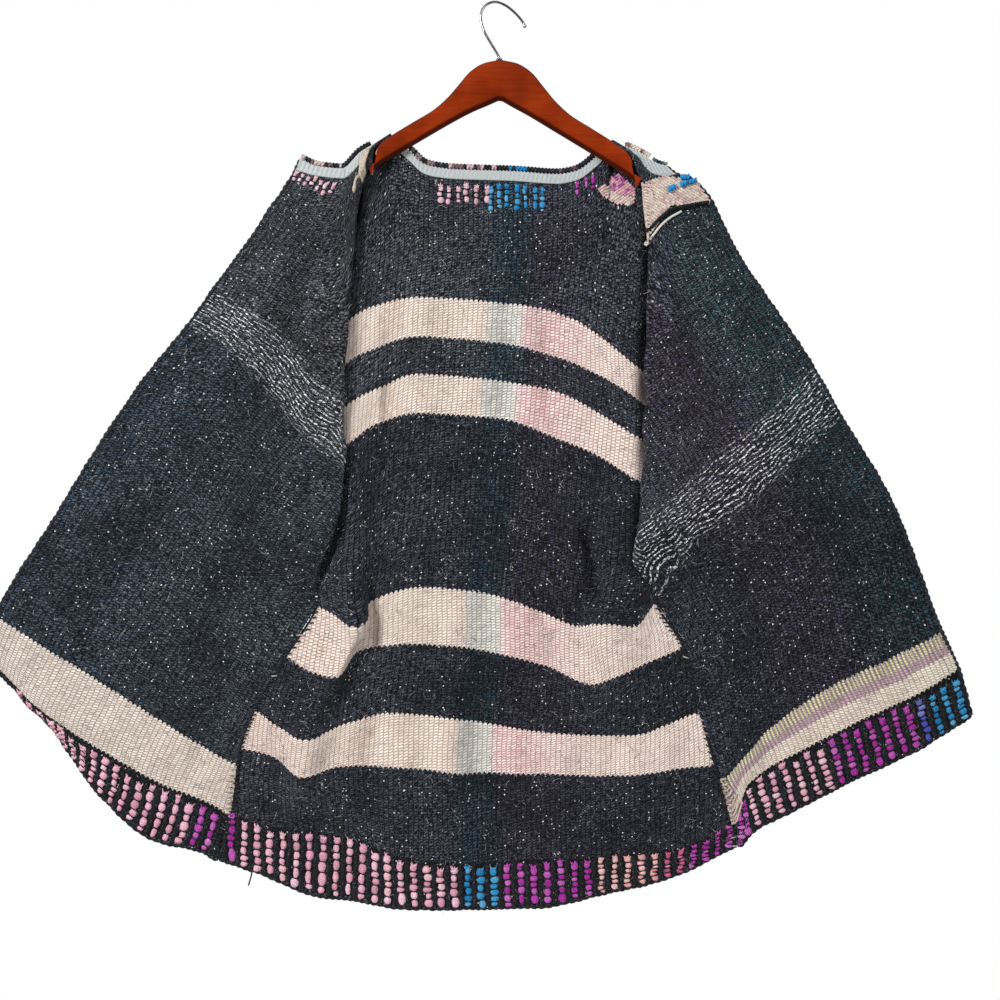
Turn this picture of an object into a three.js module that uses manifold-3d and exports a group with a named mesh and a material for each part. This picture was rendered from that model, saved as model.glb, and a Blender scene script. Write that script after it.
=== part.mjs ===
// A ruana wrap of heavy handwoven wool, hung wide open on a wooden hanger with a steel hook.
// Millimetres, +Z up. X runs to the right and Y away from someone who looks into the open wrap.
// The origin is the inside top of the hook, where a rail carries it.
import * as THREE from "three";
import { mergeVertices } from "three/addons/utils/BufferGeometryUtils.js";
import Module from "manifold-3d";

// Cloth, tape and yarn
const CLOTH = 3;
const TAPE = 1;
const ROLL_RADIUS = 3;
const SHOULDER_ROLL_RADIUS = 4;
const TOUCH = 0.3;
const ROLL_CLEARANCE = { back: 1.1, fronts: 0.7 };
const SEAM_GAP = 0.5;
const FOLD_OVER = 6.4;
const FOLD_FALL = { y: 10.5, z: -5 };
const NECK_FALL = { y: 0.3, z: -6.4 };
const SEAM_LIP = 6;
const ARMHOLE_PARTING = { from: 0.8, most: 6 };
const KNOT_RADIUS = 5;
const TUFT_RADIUS = 3;
const CORD_SIDES = 8;
const NEGLIGIBLE = 1e-9;

// Hanger
const HEAD = { x: 5.6, z: -80.1 };
const ARMS = {
  left: { side: -1, reach: 185, drop: 157 },
  right: { side: 1, reach: 197, drop: 174 },
};
const WOOD = 12;
const WOOD_ROUNDING = 1.5;
const CHAMFER = { tall: 8, deep: 4, lengthen: 1.3, out: 2.2, below: 2 };
const WIRE_RADIUS = 1.8;
const WIRE_STEPS = 44;
const HOOK_TIP_RADIUS = 2.6;
const FERRULE = { bottom: 4.5, top: 3.6, tall: 3, sides: 20 };

// Half of the hanger's outline, from the head outwards, as shares of an arm's reach and drop
const ARM_TOP = [
  [0.0, 0.0],
  [0.12, 0.03],
  [0.22, 0.1],
  [0.31, 0.22],
  [0.39, 0.33],
  [0.5, 0.445],
  [0.65, 0.552],
  [0.81, 0.667],
  [0.9, 0.74],
  [0.937, 0.8],
  [0.952, 0.89],
];
const ARM_TIP = [1, 1];
const ARM_UNDER = [
  [0.69, 0.78],
  [0.41, 0.587],
  [0.2, 0.45],
  [0.0, 0.385],
];

// The hook's wire, from the head up, over the rail and down to its tip: x and z
const HOOK_LINE = [
  [4.6, -80],
  [4.4, -76.5],
  [0.8, -69],
  [-6.5, -57],
  [-16.5, -39],
  [-21.3, -22],
  [-19, -9],
  [-11.5, -0.8],
  [-0.5, 1.8],
  [13, -2.8],
  [28, -14.8],
  [38, -27],
  [40.2, -32],
];

// The eye in front of the wrap. The tables give x and z as they are seen at Y 0 from here,
// and each point is moved along its sight line to its own depth y.
const EYE = { x: 5.6, z: -695.5, away: 2200 };

// The shoulder lines, from the neck over the arm's end and down to the top of the armhole.
// at 0 is the neck point, 1 the arm's tip and 2 the top of the armhole.
const SHOULDERS = {
  left: [
    { at: 0.0, x: -147, z: -185, y: 9.8 },
    { at: 0.22, x: -162.6, z: -195.6, y: 2 },
    { at: 0.5, x: -171.2, z: -206, y: 0 },
    { at: 0.75, x: -174.2, z: -222, y: 0 },
    { at: 1.0, x: -184, z: -238.5, y: 0 },
    { at: 1.2, x: -190, z: -262, y: 7 },
    { at: 1.5, x: -200, z: -306, y: 15 },
    { at: 1.8, x: -219, z: -362, y: 20 },
    { at: 2.0, x: -238, z: -400, y: 22 },
  ],
  right: [
    { at: 0.0, x: 162, z: -193.5, y: 9.8 },
    { at: 0.22, x: 184, z: -207.2, y: 2 },
    { at: 0.5, x: 193.8, z: -219.5, y: 0 },
    { at: 0.75, x: 196.8, z: -237, y: 0 },
    { at: 1.0, x: 207, z: -255.5, y: 0 },
    { at: 1.2, x: 210, z: -276, y: 7 },
    { at: 1.5, x: 214, z: -318, y: 15 },
    { at: 1.8, x: 226, z: -366, y: 20 },
    { at: 2.0, x: 241, z: -400, y: 22 },
  ],
};
const OVER_END = [0, 0.22, 0.5, 0.75, 1];
const DOWN_FALL = [1.2, 1.4, 1.6, 1.8, 2];

// The back, as weft lines from the yoke to the hem. down is 1 where the side seams start and 2 at
// the hem. The columns are eleven warps: edge, side, ridge, neck and inner on the left, the middle,
// and the same five on the right in the opposite order. The ridges are the two long folds that
// stand towards the eye, and above the seams the sides turn away behind them.
const BACK_ACROSS = [0, 0.08, 0.17, 0.25, 0.36, 0.5, 0.62, 0.72, 0.82, 0.91, 1];
const BACK_LINES = [
  {
    line: "yoke",
    down: 0.19,
    x: [-248, -225, -193, -151, -92, 24, 106, 150, 196, 227, 246],
    z: [-488, -416, -357, -332, -323, -332, -337, -348, -381, -437, -502],
    y: [38, 30, 9, 14, 16, 18, 16, 14, 9, 30, 38],
  },
  {
    line: "first stripe's top",
    down: 0.31,
    x: [-253, -231, -209, -174, -105, 17, 90, 143, 188, 218, 241],
    z: [-549, -488, -446, -424, -411, -419, -434, -463, -501, -535, -584],
    y: [40, 32, 6, 15, 20, 22, 20, 15, 6, 32, 40],
  },
  {
    line: "first stripe's bottom",
    down: 0.41,
    x: [-258, -234, -211, -174, -108, 14, 84, 137, 189, 220, 242],
    z: [-591, -544, -505, -484, -466, -476, -494, -516, -547, -577, -619],
    y: [40, 32, 6, 15, 20, 23, 20, 15, 6, 32, 40],
  },
  {
    line: "second stripe's top",
    down: 0.5,
    x: [-260, -235, -209, -169, -108, 10, 84, 134, 192, 221, 244],
    z: [-626, -591, -561, -540, -518, -528, -543, -567, -602, -626, -661],
    y: [40, 32, 6, 14, 20, 24, 20, 15, 6, 32, 40],
  },
  {
    line: "second stripe's bottom",
    down: 0.59,
    x: [-266, -235, -207, -167, -109, 6, 80, 137, 190, 223, 245],
    z: [-665, -642, -616, -589, -574, -581, -607, -630, -663, -684, -710],
    y: [38, 30, 6, 14, 21, 24, 21, 15, 6, 30, 38],
  },
  {
    line: "waist",
    down: 0.81,
    x: [-266, -232, -197, -162, -104, -3, 73, 129, 171, 209, 237],
    z: [-759, -752, -738, -712, -696, -704, -726, -749, -763, -768, -780],
    y: [26, 18, 4, 18, 22, 26, 20, 18, 0, 16, 26],
  },
  {
    line: "third stripe's top, at the start of the seams",
    down: 1,
    x: [-251, -227, -199, -171, -106, -13, 62, 115, 154, 193, 224],
    z: [-843, -855, -872, -836, -817, -826, -851, -871, -869, -873, -837],
    y: [2, 0, -4, 16, 20, 26, 20, 24, -6, -4, 2],
  },
  {
    line: "third stripe's bottom",
    down: 1.19,
    x: [-294, -259, -224, -193, -118, -14, 69, 132, 171, 216, 262],
    z: [-913, -935, -943, -906, -896, -906, -927, -953, -941, -921, -901],
    y: [2, 0, -4, 16, 18, 26, 22, 20, 2, 0, 2],
  },
  {
    line: "fourth stripe's top",
    down: 1.41,
    x: [-339, -302, -266, -211, -141, -25, 76, 143, 196, 241, 286],
    z: [-990, -1016, -1032, -1011, -996, -1009, -1024, -1027, -1026, -1011, -994],
    y: [4, 3, 0, 14, 18, 28, 20, 16, 6, 4, 4],
  },
  {
    line: "fourth stripe's bottom",
    down: 1.55,
    x: [-358, -316, -270, -214, -141, -27, 78, 146, 206, 258, 307],
    z: [-1043, -1053, -1082, -1068, -1069, -1079, -1078, -1082, -1079, -1071, -1067],
    y: [4, 4, 2, 14, 18, 28, 20, 16, 8, 6, 4],
  },
  {
    line: "border's top",
    down: 1.79,
    x: [-370, -322, -267, -204, -127, -25, 66, 139, 209, 272, 328],
    z: [-1130, -1151, -1155, -1166, -1194, -1202, -1195, -1194, -1188, -1176, -1146],
    y: [4, 6, 5, 12, 16, 26, 20, 14, 10, 6, 4],
  },
  {
    line: "hem",
    down: 2,
    x: [-388, -328, -263, -202, -125, -22, 64, 137, 207, 273, 337],
    z: [-1198, -1218, -1246, -1254, -1267, -1267, -1264, -1249, -1234, -1211, -1179],
    y: [4, 6, 7, 12, 16, 26, 20, 14, 10, 6, 4],
  },
];

// The cut neck edge of the back, between the two neck points: warp, x, z and y
const BACK_NECK = [
  { across: 0.3, x: -122, z: -207, y: 10.6 },
  { across: 0.35, x: -98, z: -227, y: 11.3 },
  { across: 0.4, x: -62, z: -233, y: 12 },
  { across: 0.5, x: 24, z: -236, y: 13 },
  { across: 0.59, x: 86, z: -240, y: 12 },
  { across: 0.63, x: 112, z: -235.5, y: 11.5 },
  { across: 0.68, x: 140, z: -216, y: 10.6 },
];

// Each front, as weft lines from its neck edge to its hem, on the same scale of down as the back.
// The columns are the centre front edge, three warps between, and the fold beside the back's ridge.
// edge is the free edge of the armhole, which the fold turns behind itself.
const FRONT_ACROSS = [0, 0.23, 0.46, 0.69, 0.9];
const LIP_ACROSS = 0.95;
const FRONTS = {
  left: [
    {
      line: "neck edge",
      down: 0,
      x: [-274, -249, -216, -188, -156],
      z: [-219, -229, -232, -208, -190],
      y: [-4, -5, -4, -3, 2],
    },
    {
      line: "lower edge of the tape",
      down: 0.04,
      x: [-280, -252, -216, -192, -171],
      z: [-234, -242, -246, -228, -201],
      y: [-4, -6, -6, -6, -5],
    },
    {
      line: "shoulder",
      down: 0.09,
      x: [-291, -259, -226, -200, -179],
      z: [-252, -264, -276, -250, -209],
      y: [-5, -8, -8, -7, -7.5],
    },
    {
      line: "end of the arm",
      down: 0.135,
      x: [-301, -268, -235, -206, -183],
      z: [-268, -290, -306, -286, -226],
      y: [-6, -10, -10, -8, -7.5],
    },
    {
      line: "tip of the arm",
      down: 0.18,
      x: [-312, -277, -242, -210, -192],
      z: [-283, -314, -336, -330, -246],
      y: [-8, -12, -12, -9, -7.5],
    },
    {
      line: "top of the armhole",
      down: 0.3,
      x: [-344, -308, -272, -235, -206],
      z: [-332, -362, -399, -427, -446],
      y: [-10, -14, -14, -10, -4],
    },
    {
      line: "heather band's top",
      down: 0.5,
      x: [-396, -349, -301, -255, -213],
      z: [-402, -431, -469, -528, -572],
      y: [-14, -18, -16, -11, -4],
      edge: { x: -244, z: -612, y: 16 },
    },
    {
      line: "heather band's bottom",
      down: 0.58,
      x: [-423, -370, -319, -266, -213],
      z: [-441, -473, -528, -593, -642],
      y: [-16, -19, -16, -11, -4],
      edge: { x: -247, z: -668, y: 16 },
    },
    {
      line: "waist",
      down: 0.78,
      x: [-493, -433, -370, -300, -230],
      z: [-528, -561, -612, -691, -745],
      y: [-20, -22, -17, -10, -5],
      edge: { x: -254, z: -759, y: 9 },
    },
    {
      line: "start of the seam",
      down: 1,
      x: [-555, -484, -409, -333, -270],
      z: [-620, -665, -724, -794, -832],
      y: [-22, -22, -17, -8, -1],
    },
    {
      line: "below the start of the seam",
      down: 1.3,
      x: [-617, -545, -466, -384, -332],
      z: [-721, -767, -822, -887, -938],
      y: [-24, -22, -16, -6, 1],
    },
    {
      line: "stripe's top",
      down: 1.61,
      x: [-700, -624, -540, -452, -382],
      z: [-858, -907, -960, -1016, -1058],
      y: [-22, -20, -15, -6, 2],
    },
    {
      line: "stripe's bottom",
      down: 1.8,
      x: [-715, -638, -554, -466, -393],
      z: [-912, -987, -1044, -1093, -1122],
      y: [-14, -16, -12, -4, 3],
    },
    {
      line: "hem, its corner curled behind",
      down: 2,
      x: [-690, -627, -560, -477, -410],
      z: [-944, -1005, -1100, -1172, -1187],
      y: [14, -8, -8, -2, 3],
    },
  ],
  right: [
    {
      line: "neck edge",
      down: 0,
      x: [239, 225, 209, 192, 174],
      z: [-229, -225, -215, -206, -199],
      y: [-6, -6, -5, -3, 2],
    },
    {
      line: "lower edge of the tape",
      down: 0.04,
      x: [252, 238, 222, 208, 193],
      z: [-240, -243, -240, -230, -211],
      y: [-7, -8, -7, -6, -5],
    },
    {
      line: "shoulder",
      down: 0.09,
      x: [268, 256, 238, 218, 202],
      z: [-244, -256, -258, -248, -222],
      y: [-9, -10, -9, -7.5, -7.5],
    },
    {
      line: "end of the arm",
      down: 0.135,
      x: [285, 272, 251, 226, 206],
      z: [-256, -275, -286, -275, -240],
      y: [-10, -12, -10, -8, -7.5],
    },
    {
      line: "tip of the arm",
      down: 0.18,
      x: [300, 286, 263, 235, 215],
      z: [-276, -301, -315, -306, -263],
      y: [-12, -14, -12, -9, -7.5],
    },
    {
      line: "top of the armhole",
      down: 0.3,
      x: [335, 308, 280, 246, 211],
      z: [-347, -376, -404, -432, -458],
      y: [-14, -16, -14, -10, -5],
    },
    {
      line: "above the heather band",
      down: 0.45,
      x: [381, 342, 300, 258, 210],
      z: [-416, -458, -497, -544, -591],
      y: [-16, -18, -15, -10, -5],
      edge: { x: 240, z: -612, y: 16 },
    },
    {
      line: "heather band's top",
      down: 0.66,
      x: [434, 375, 316, 258, 200],
      z: [-494, -558, -606, -663, -726],
      y: [-20, -21, -16, -10, -6],
      edge: { x: 233, z: -745, y: 13 },
    },
    {
      line: "waist",
      down: 0.83,
      x: [462, 398, 335, 272, 192],
      z: [-542, -606, -661, -711, -780],
      y: [-22, -22, -16, -9, -10],
      edge: { x: 226, z: -797, y: 4 },
    },
    {
      line: "heather band's bottom, at the start of the seam",
      down: 1,
      x: [486, 414, 349, 286, 241],
      z: [-585, -651, -710, -756, -824],
      y: [-24, -22, -16, -8, -1],
    },
    {
      line: "below the start of the seam",
      down: 1.3,
      x: [552, 484, 419, 349, 290],
      z: [-696, -759, -822, -880, -931],
      y: [-26, -22, -15, -6, 1],
    },
    {
      line: "stripe's top",
      down: 1.6,
      x: [623, 561, 489, 412, 335],
      z: [-879, -913, -945, -992, -1067],
      y: [-26, -20, -13, -5, 2],
    },
    {
      line: "stripe's bottom",
      down: 1.79,
      x: [647, 575, 504, 426, 353],
      z: [-932, -974, -1006, -1047, -1092],
      y: [-24, -18, -11, -4, 3],
    },
    {
      line: "hem",
      down: 2,
      x: [665, 587, 503, 420, 358],
      z: [-997, -1046, -1085, -1128, -1160],
      y: [-20, -15, -9, -3, 3],
    },
  ],
};
const ARMHOLE_TOP = 0.3;
const ARM_TIP_DOWN = 0.18;

// How finely the panels are divided. The first three rows of the back are its fold over the arm.
const BACK_MIDDLE_STEPS = 12;
const BACK_ROWS_OVER = [0, 0.011, 0.022];
const BACK_ROWS_TO_STRIPES = [0.045, 0.1, 0.15, 0.2, 0.255, 0.31, 0.36, 0.41, 0.455, 0.5, 0.545, 0.59];
const BACK_ROWS_TO_SEAMS = [0.66, 0.735, 0.81, 0.87, 0.935];
const FRONT_ROWS_DOWN = [0.35, 0.42, 0.5, 0.58, 0.65, 0.72, 0.79, 0.86, 0.93];
const SEAM_STEPS = 16;
const FRONT_STEPS = 11;

// Which rows and columns of the panels the tapes, rolls and yarn ends lie on. The side of each
// panel that faces into the open wrap is given as the sign of its grid's normals.
const INNER_FACE = { back: -1, left: 1, right: -1 };
const BACK_TAPE_ROWS = 3;
const FRONT_TAPE_ROWS = 2;
const LEFT_ROLL_POINTS = 10;
const SHOULDER_ROLL_FROM = 5;
const TUFT_ROWS = [2, 3, 4];
const NECK_KNOT = { columnsPastNeck: 2, row: 4 };
const ARMHOLE_KNOT_ROW = 6;

// Materials: colour, roughness and metalness
const WOOL = { color: 0x23262e, roughness: 0.95, metalness: 0 };
const PALE_WOOL = { color: 0xcdbcb0, roughness: 0.95, metalness: 0 };
const TWILL = { color: 0xc5cbc9, roughness: 0.85, metalness: 0 };
const CHERRY = { color: 0x8a2a0e, roughness: 0.25, metalness: 0 };
const STEEL = { color: 0xc9ccd0, roughness: 0.18, metalness: 1 };

const wasm = await Module();
wasm.setup();

function named(name, geometry, finish) {
  const mesh = new THREE.Mesh(geometry, new THREE.MeshStandardMaterial(finish));
  mesh.name = name;
  return mesh;
}

// Smooth curve through the values at the knots, which never swings past a value.
function smoothThrough(knots, values) {
  const last = knots.length - 1;
  const slope = knots.slice(1).map((k, i) => (values[i + 1] - values[i]) / (k - knots[i]));
  const tangent = knots.map((_, i) => {
    if (i === 0) return slope[0];
    if (i === last) return slope[last - 1];
    const [before, after] = [slope[i - 1], slope[i]];
    return before * after <= 0 ? 0 : (2 * before * after) / (before + after);
  });
  return (at) => {
    let i = 0;
    while (i < last - 1 && at > knots[i + 1]) i += 1;
    const wide = knots[i + 1] - knots[i];
    const t = THREE.MathUtils.clamp((at - knots[i]) / wide, 0, 1);
    const rise = t * t * (3 - 2 * t);
    return (
      values[i] * (1 - rise) +
      values[i + 1] * rise +
      wide * tangent[i] * t * (1 - t) * (1 - t) -
      wide * tangent[i + 1] * t * t * (1 - t)
    );
  };
}

function smoothLine(knots, points) {
  const [x, y, z] = ["x", "y", "z"].map((axis) => smoothThrough(knots, points.map((p) => p[axis])));
  return (at) => new THREE.Vector3(x(at), y(at), z(at));
}

// The point at depth y on the sight line that meets the plane Y 0 at x and z.
function onSightLine({ x, y, z }) {
  const scale = 1 + y / EYE.away;
  return new THREE.Vector3(EYE.x + (x - EYE.x) * scale, y, EYE.z + (z - EYE.z) * scale);
}

// One weft line's points, from its named columns.
function pointsOf(line) {
  return line.x.map((x, i) => onSightLine({ x, y: line.y[i], z: line.z[i] }));
}

function moved(point, x, y, z) {
  return point.clone().add(new THREE.Vector3(x, y, z));
}

// Lines that both the back and a front follow
const shoulderLine = {};
for (const [side, rows] of Object.entries(SHOULDERS))
  shoulderLine[side] = smoothLine(rows.map((r) => r.at), rows.map(onSightLine));

const SEAM_ROWS = BACK_LINES.filter((row) => row.down >= 1);
const seamLine = {};
for (const [side, column] of [["left", 0], ["right", BACK_ACROSS.length - 1]])
  seamLine[side] = smoothLine(SEAM_ROWS.map((r) => r.down), SEAM_ROWS.map((r) => pointsOf(r)[column]));

// How far the arm's tip and the neck point lie from the back's edge, as shares of its warps
const FROM_EDGE = {
  left: { tip: BACK_ACROSS[2], neck: BACK_ACROSS[3] },
  right: { tip: 1 - BACK_ACROSS[8], neck: 1 - BACK_ACROSS[7] },
};

// Where a warp of the back starts on the shoulder line, or null between the neck points.
function backShoulder(across) {
  const fromEdge = Math.min(across, 1 - across);
  const side = across < 0.5 ? "left" : "right";
  const { tip, neck } = FROM_EDGE[side];
  if (fromEdge > neck + NEGLIGIBLE) return null;
  const at = fromEdge >= tip ? (neck - fromEdge) / (neck - tip) : 2 - fromEdge / tip;
  return shoulderLine[side](at);
}

const NECK_ENDS = [
  { across: BACK_ACROSS[3], ...SHOULDERS.left[0] },
  { across: BACK_ACROSS[7], ...SHOULDERS.right[0] },
];
const NECK_ROWS = [NECK_ENDS[0], ...BACK_NECK, NECK_ENDS[1]];
const neckLine = smoothLine(NECK_ROWS.map((r) => r.across), NECK_ROWS.map(onSightLine));

// The back at a warp, as a function of down. Its first centimetre folds over the arm or, between
// the neck points, hangs straight from the cut edge.
function backWarp(across) {
  const shoulder = backShoulder(across);
  const start = shoulder ?? neckLine(across);
  const top = shoulder
    ? [
        moved(start, 0, SEAM_GAP / 2, 0),
        moved(start, 0, FOLD_OVER, 0),
        moved(start, 0, FOLD_FALL.y, FOLD_FALL.z),
      ]
    : [
        start,
        moved(start, 0, NECK_FALL.y, NECK_FALL.z),
        moved(start, 0, 2 * NECK_FALL.y, 2 * NECK_FALL.z),
      ];
  const knots = [...BACK_ROWS_OVER, ...BACK_LINES.map((r) => r.down)];
  const below = BACK_LINES.map((row) => smoothLine(BACK_ACROSS, pointsOf(row))(across));
  return smoothLine(knots, [...top, ...below]);
}

function backColumns() {
  const left = [...OVER_END, ...DOWN_FALL].map((at) => warpAt(at, FROM_EDGE.left));
  const right = [...OVER_END, ...DOWN_FALL].map((at) => 1 - warpAt(at, FROM_EDGE.right));
  const middle = [];
  for (let i = 1; i < BACK_MIDDLE_STEPS; i += 1)
    middle.push(THREE.MathUtils.lerp(left[0], right[0], i / BACK_MIDDLE_STEPS));
  return [...left.reverse(), ...middle, ...right];
}

function warpAt(at, { tip, neck }) {
  return at <= 1 ? neck - at * (neck - tip) : (2 - at) * tip;
}

// How far each edge draws back from the other just above the start of a side seam.
function parting(down) {
  const { from, most } = ARMHOLE_PARTING;
  return down > from && down < 1 ? most * Math.sin((Math.PI * (down - from)) / (1 - from)) : 0;
}

function seamRows() {
  return Array.from({ length: SEAM_STEPS + 1 }, (_, i) => 1 + i / SEAM_STEPS);
}

function backGrid() {
  const downs = [...BACK_ROWS_OVER, ...BACK_ROWS_TO_STRIPES, ...BACK_ROWS_TO_SEAMS, ...seamRows()];
  const columns = backColumns();
  return columns.map((across) => {
    const warp = backWarp(across);
    const edge = across < NEGLIGIBLE ? "left" : across > 1 - NEGLIGIBLE ? "right" : null;
    return downs.map((down) => {
      const inward = edge === "left" ? 1 : -1;
      if (!edge) return warp(down);
      if (down < 1) return moved(warp(down), inward * parting(down), 0, 0);
      return moved(seamLine[edge](down), (inward * SEAM_GAP) / 2, 0, 0);
    });
  });
}

// The lip and the edge of a front where it meets the back, or null along the open armhole.
function sharedFold(side, down) {
  const outward = ARMS[side].side;
  if (down <= ARMHOLE_TOP + NEGLIGIBLE) {
    const past = (down - ARM_TIP_DOWN) / (ARMHOLE_TOP - ARM_TIP_DOWN);
    const fold = shoulderLine[side](down <= ARM_TIP_DOWN ? down / ARM_TIP_DOWN : 1 + past);
    return [moved(fold, 0, -FOLD_OVER, 0), moved(fold, 0, -SEAM_GAP / 2, 0)];
  }
  if (down < 1) return null;
  const seam = seamLine[side](down);
  return [moved(seam, outward * SEAM_LIP, 0, 0), moved(seam, (outward * SEAM_GAP) / 2, 0, 0)];
}

// A front at a weft line of its table: its columns, its lip and its edge.
function frontKnots(side, row) {
  const points = pointsOf(row);
  const shared = sharedFold(side, row.down);
  if (shared) return [...points, ...shared];
  const edge = onSightLine(row.edge);
  return [...points, points[points.length - 1].clone().lerp(edge, 0.5), edge];
}

function frontGrid(side) {
  const rows = FRONTS[side];
  const knotLines = rows.map((row) => frontKnots(side, row));
  const knots = rows.map((row) => row.down);
  const byColumn = knotLines[0].map((_, c) => smoothLine(knots, knotLines.map((line) => line[c])));
  const acrossKnots = [...FRONT_ACROSS, LIP_ACROSS, 1];
  const downs = frontDowns();
  const last = acrossKnots.length - 1;
  return downs.map((down) => {
    const line = byColumn.map((column) => column(down));
    const shared = sharedFold(side, down);
    if (shared) [line[last - 1], line[last]] = shared;
    else line[last] = moved(line[last], ARMS[side].side * parting(down), 0, 0);
    const weft = smoothLine(acrossKnots, line);
    return frontColumns().map((across) => weft(across));
  });
}

function frontDowns() {
  const over = OVER_END.map((at) => at * ARM_TIP_DOWN);
  const fall = DOWN_FALL.map((at) => ARM_TIP_DOWN + (at - 1) * (ARMHOLE_TOP - ARM_TIP_DOWN));
  return [...over, ...fall, ...FRONT_ROWS_DOWN, ...seamRows()];
}

function frontColumns() {
  const even = Array.from({ length: FRONT_STEPS }, (_, i) => (LIP_ACROSS * i) / FRONT_STEPS);
  return [...even, LIP_ACROSS, (LIP_ACROSS + 1) / 2, 1];
}

// The normal at each point of a grid of points.
function gridNormals(grid) {
  const [m, n] = [grid.length - 1, grid[0].length - 1];
  return grid.map((line, i) =>
    line.map((_, j) => {
      const along = grid[Math.min(i + 1, m)][j].clone().sub(grid[Math.max(i - 1, 0)][j]);
      const down = grid[i][Math.min(j + 1, n)].clone().sub(grid[i][Math.max(j - 1, 0)]);
      return along.cross(down).normalize();
    }),
  );
}

// A closed wall between two copies of a grid, moved by near and far along its normals.
function wall(grid, near, far, normals = gridNormals(grid)) {
  const [m, n] = [grid.length, grid[0].length];
  const points = [];
  for (const offset of [near, far])
    grid.forEach((line, i) =>
      line.forEach((point, j) => points.push(point.clone().addScaledVector(normals[i][j], offset))),
    );
  const at = (layer, i, j) => layer * m * n + i * n + j;
  const faces = [];
  const quad = (a, b, c, d) => faces.push(a, b, c, a, c, d);
  for (let i = 0; i + 1 < m; i += 1)
    for (let j = 0; j + 1 < n; j += 1) {
      quad(at(1, i, j), at(1, i + 1, j), at(1, i + 1, j + 1), at(1, i, j + 1));
      quad(at(0, i, j), at(0, i, j + 1), at(0, i + 1, j + 1), at(0, i + 1, j));
    }
  for (let i = 0; i + 1 < m; i += 1) {
    quad(at(0, i, 0), at(0, i + 1, 0), at(1, i + 1, 0), at(1, i, 0));
    quad(at(0, i + 1, n - 1), at(0, i, n - 1), at(1, i, n - 1), at(1, i + 1, n - 1));
  }
  for (let j = 0; j + 1 < n; j += 1) {
    quad(at(0, 0, j + 1), at(0, 0, j), at(1, 0, j), at(1, 0, j + 1));
    quad(at(0, m - 1, j), at(0, m - 1, j + 1), at(1, m - 1, j + 1), at(1, m - 1, j));
  }
  return facingOut(points, faces);
}

// A geometry from points and faces, turned so that its faces look outwards.
function facingOut(points, faces) {
  let volume = 0;
  for (let i = 0; i < faces.length; i += 3) {
    const [a, b, c] = [points[faces[i]], points[faces[i + 1]], points[faces[i + 2]]];
    volume += a.dot(b.clone().cross(c));
  }
  if (volume < 0)
    for (let i = 0; i < faces.length; i += 3)
      [faces[i + 1], faces[i + 2]] = [faces[i + 2], faces[i + 1]];
  const geometry = new THREE.BufferGeometry().setFromPoints(points);
  geometry.setIndex(faces);
  return geometry;
}

// A round cord along a smooth line through points.
function cordAlong(points, radius, steps) {
  const section = new THREE.Shape(
    Array.from({ length: CORD_SIDES }, (_, i) => {
      const turn = (2 * Math.PI * i) / CORD_SIDES;
      return new THREE.Vector2(radius * Math.cos(turn), radius * Math.sin(turn));
    }),
  );
  const path = new THREE.CatmullRomCurve3(points, false, "centripetal");
  return new THREE.ExtrudeGeometry(section, { steps, bevelEnabled: false, extrudePath: path });
}

function solidOf(geometry) {
  const bare = geometry.clone();
  for (const name of ["normal", "uv"]) bare.deleteAttribute(name);
  const merged = mergeVertices(bare, 1e-4);
  return new wasm.Manifold(
    new wasm.Mesh({
      numProp: 3,
      vertProperties: merged.attributes.position.array,
      triVerts: new Uint32Array(merged.index.array),
    }),
  );
}

function geometryOf(solid) {
  const mesh = solid.getMesh();
  const geometry = new THREE.BufferGeometry();
  geometry.setAttribute("position", new THREE.BufferAttribute(mesh.vertProperties, 3));
  geometry.setIndex(new THREE.BufferAttribute(mesh.triVerts, 1));
  return geometry;
}

function armPoint({ side, reach, drop }, [out, fall]) {
  return new THREE.Vector2(HEAD.x + side * reach * out, HEAD.z - drop * fall);
}

function hangerOutline() {
  const { left, right } = ARMS;
  return [
    ...ARM_TOP.map((share) => armPoint(right, share)),
    armPoint(right, ARM_TIP),
    ...ARM_UNDER.slice(0, -1).map((share) => armPoint(right, share)),
    armPoint(left, ARM_UNDER[ARM_UNDER.length - 1]),
    ...ARM_UNDER.slice(0, -1).reverse().map((share) => armPoint(left, share)),
    armPoint(left, ARM_TIP),
    ...ARM_TOP.slice(1).reverse().map((share) => armPoint(left, share)),
  ];
}

// The long chamfers under each arm, at the front and at the back.
function chamferCuts() {
  const cuts = [];
  for (const arm of Object.values(ARMS)) {
    const [inner, outer] = [armPoint(arm, ARM_UNDER[2]), armPoint(arm, ARM_TIP)];
    const length = inner.distanceTo(outer) * CHAMFER.lengthen;
    const slope = Math.atan2(outer.y - inner.y, outer.x - inner.x);
    for (const face of [-1, 1]) {
      const bar = new THREE.BoxGeometry(length, 2 * CHAMFER.deep, 2 * CHAMFER.tall);
      const place = new THREE.Group();
      const tilt = new THREE.Group();
      const middle = inner.clone().add(outer).multiplyScalar(0.5);
      place.position.set(middle.x, (face * WOOD) / 2, middle.y);
      place.rotation.y = -slope;
      tilt.rotation.x = face * Math.atan2(CHAMFER.deep, CHAMFER.tall);
      tilt.position.set(0, face * CHAMFER.out, -CHAMFER.below);
      place.add(tilt);
      place.updateMatrixWorld(true);
      cuts.push(solidOf(bar.applyMatrix4(tilt.matrixWorld)));
    }
  }
  return cuts;
}

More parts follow.
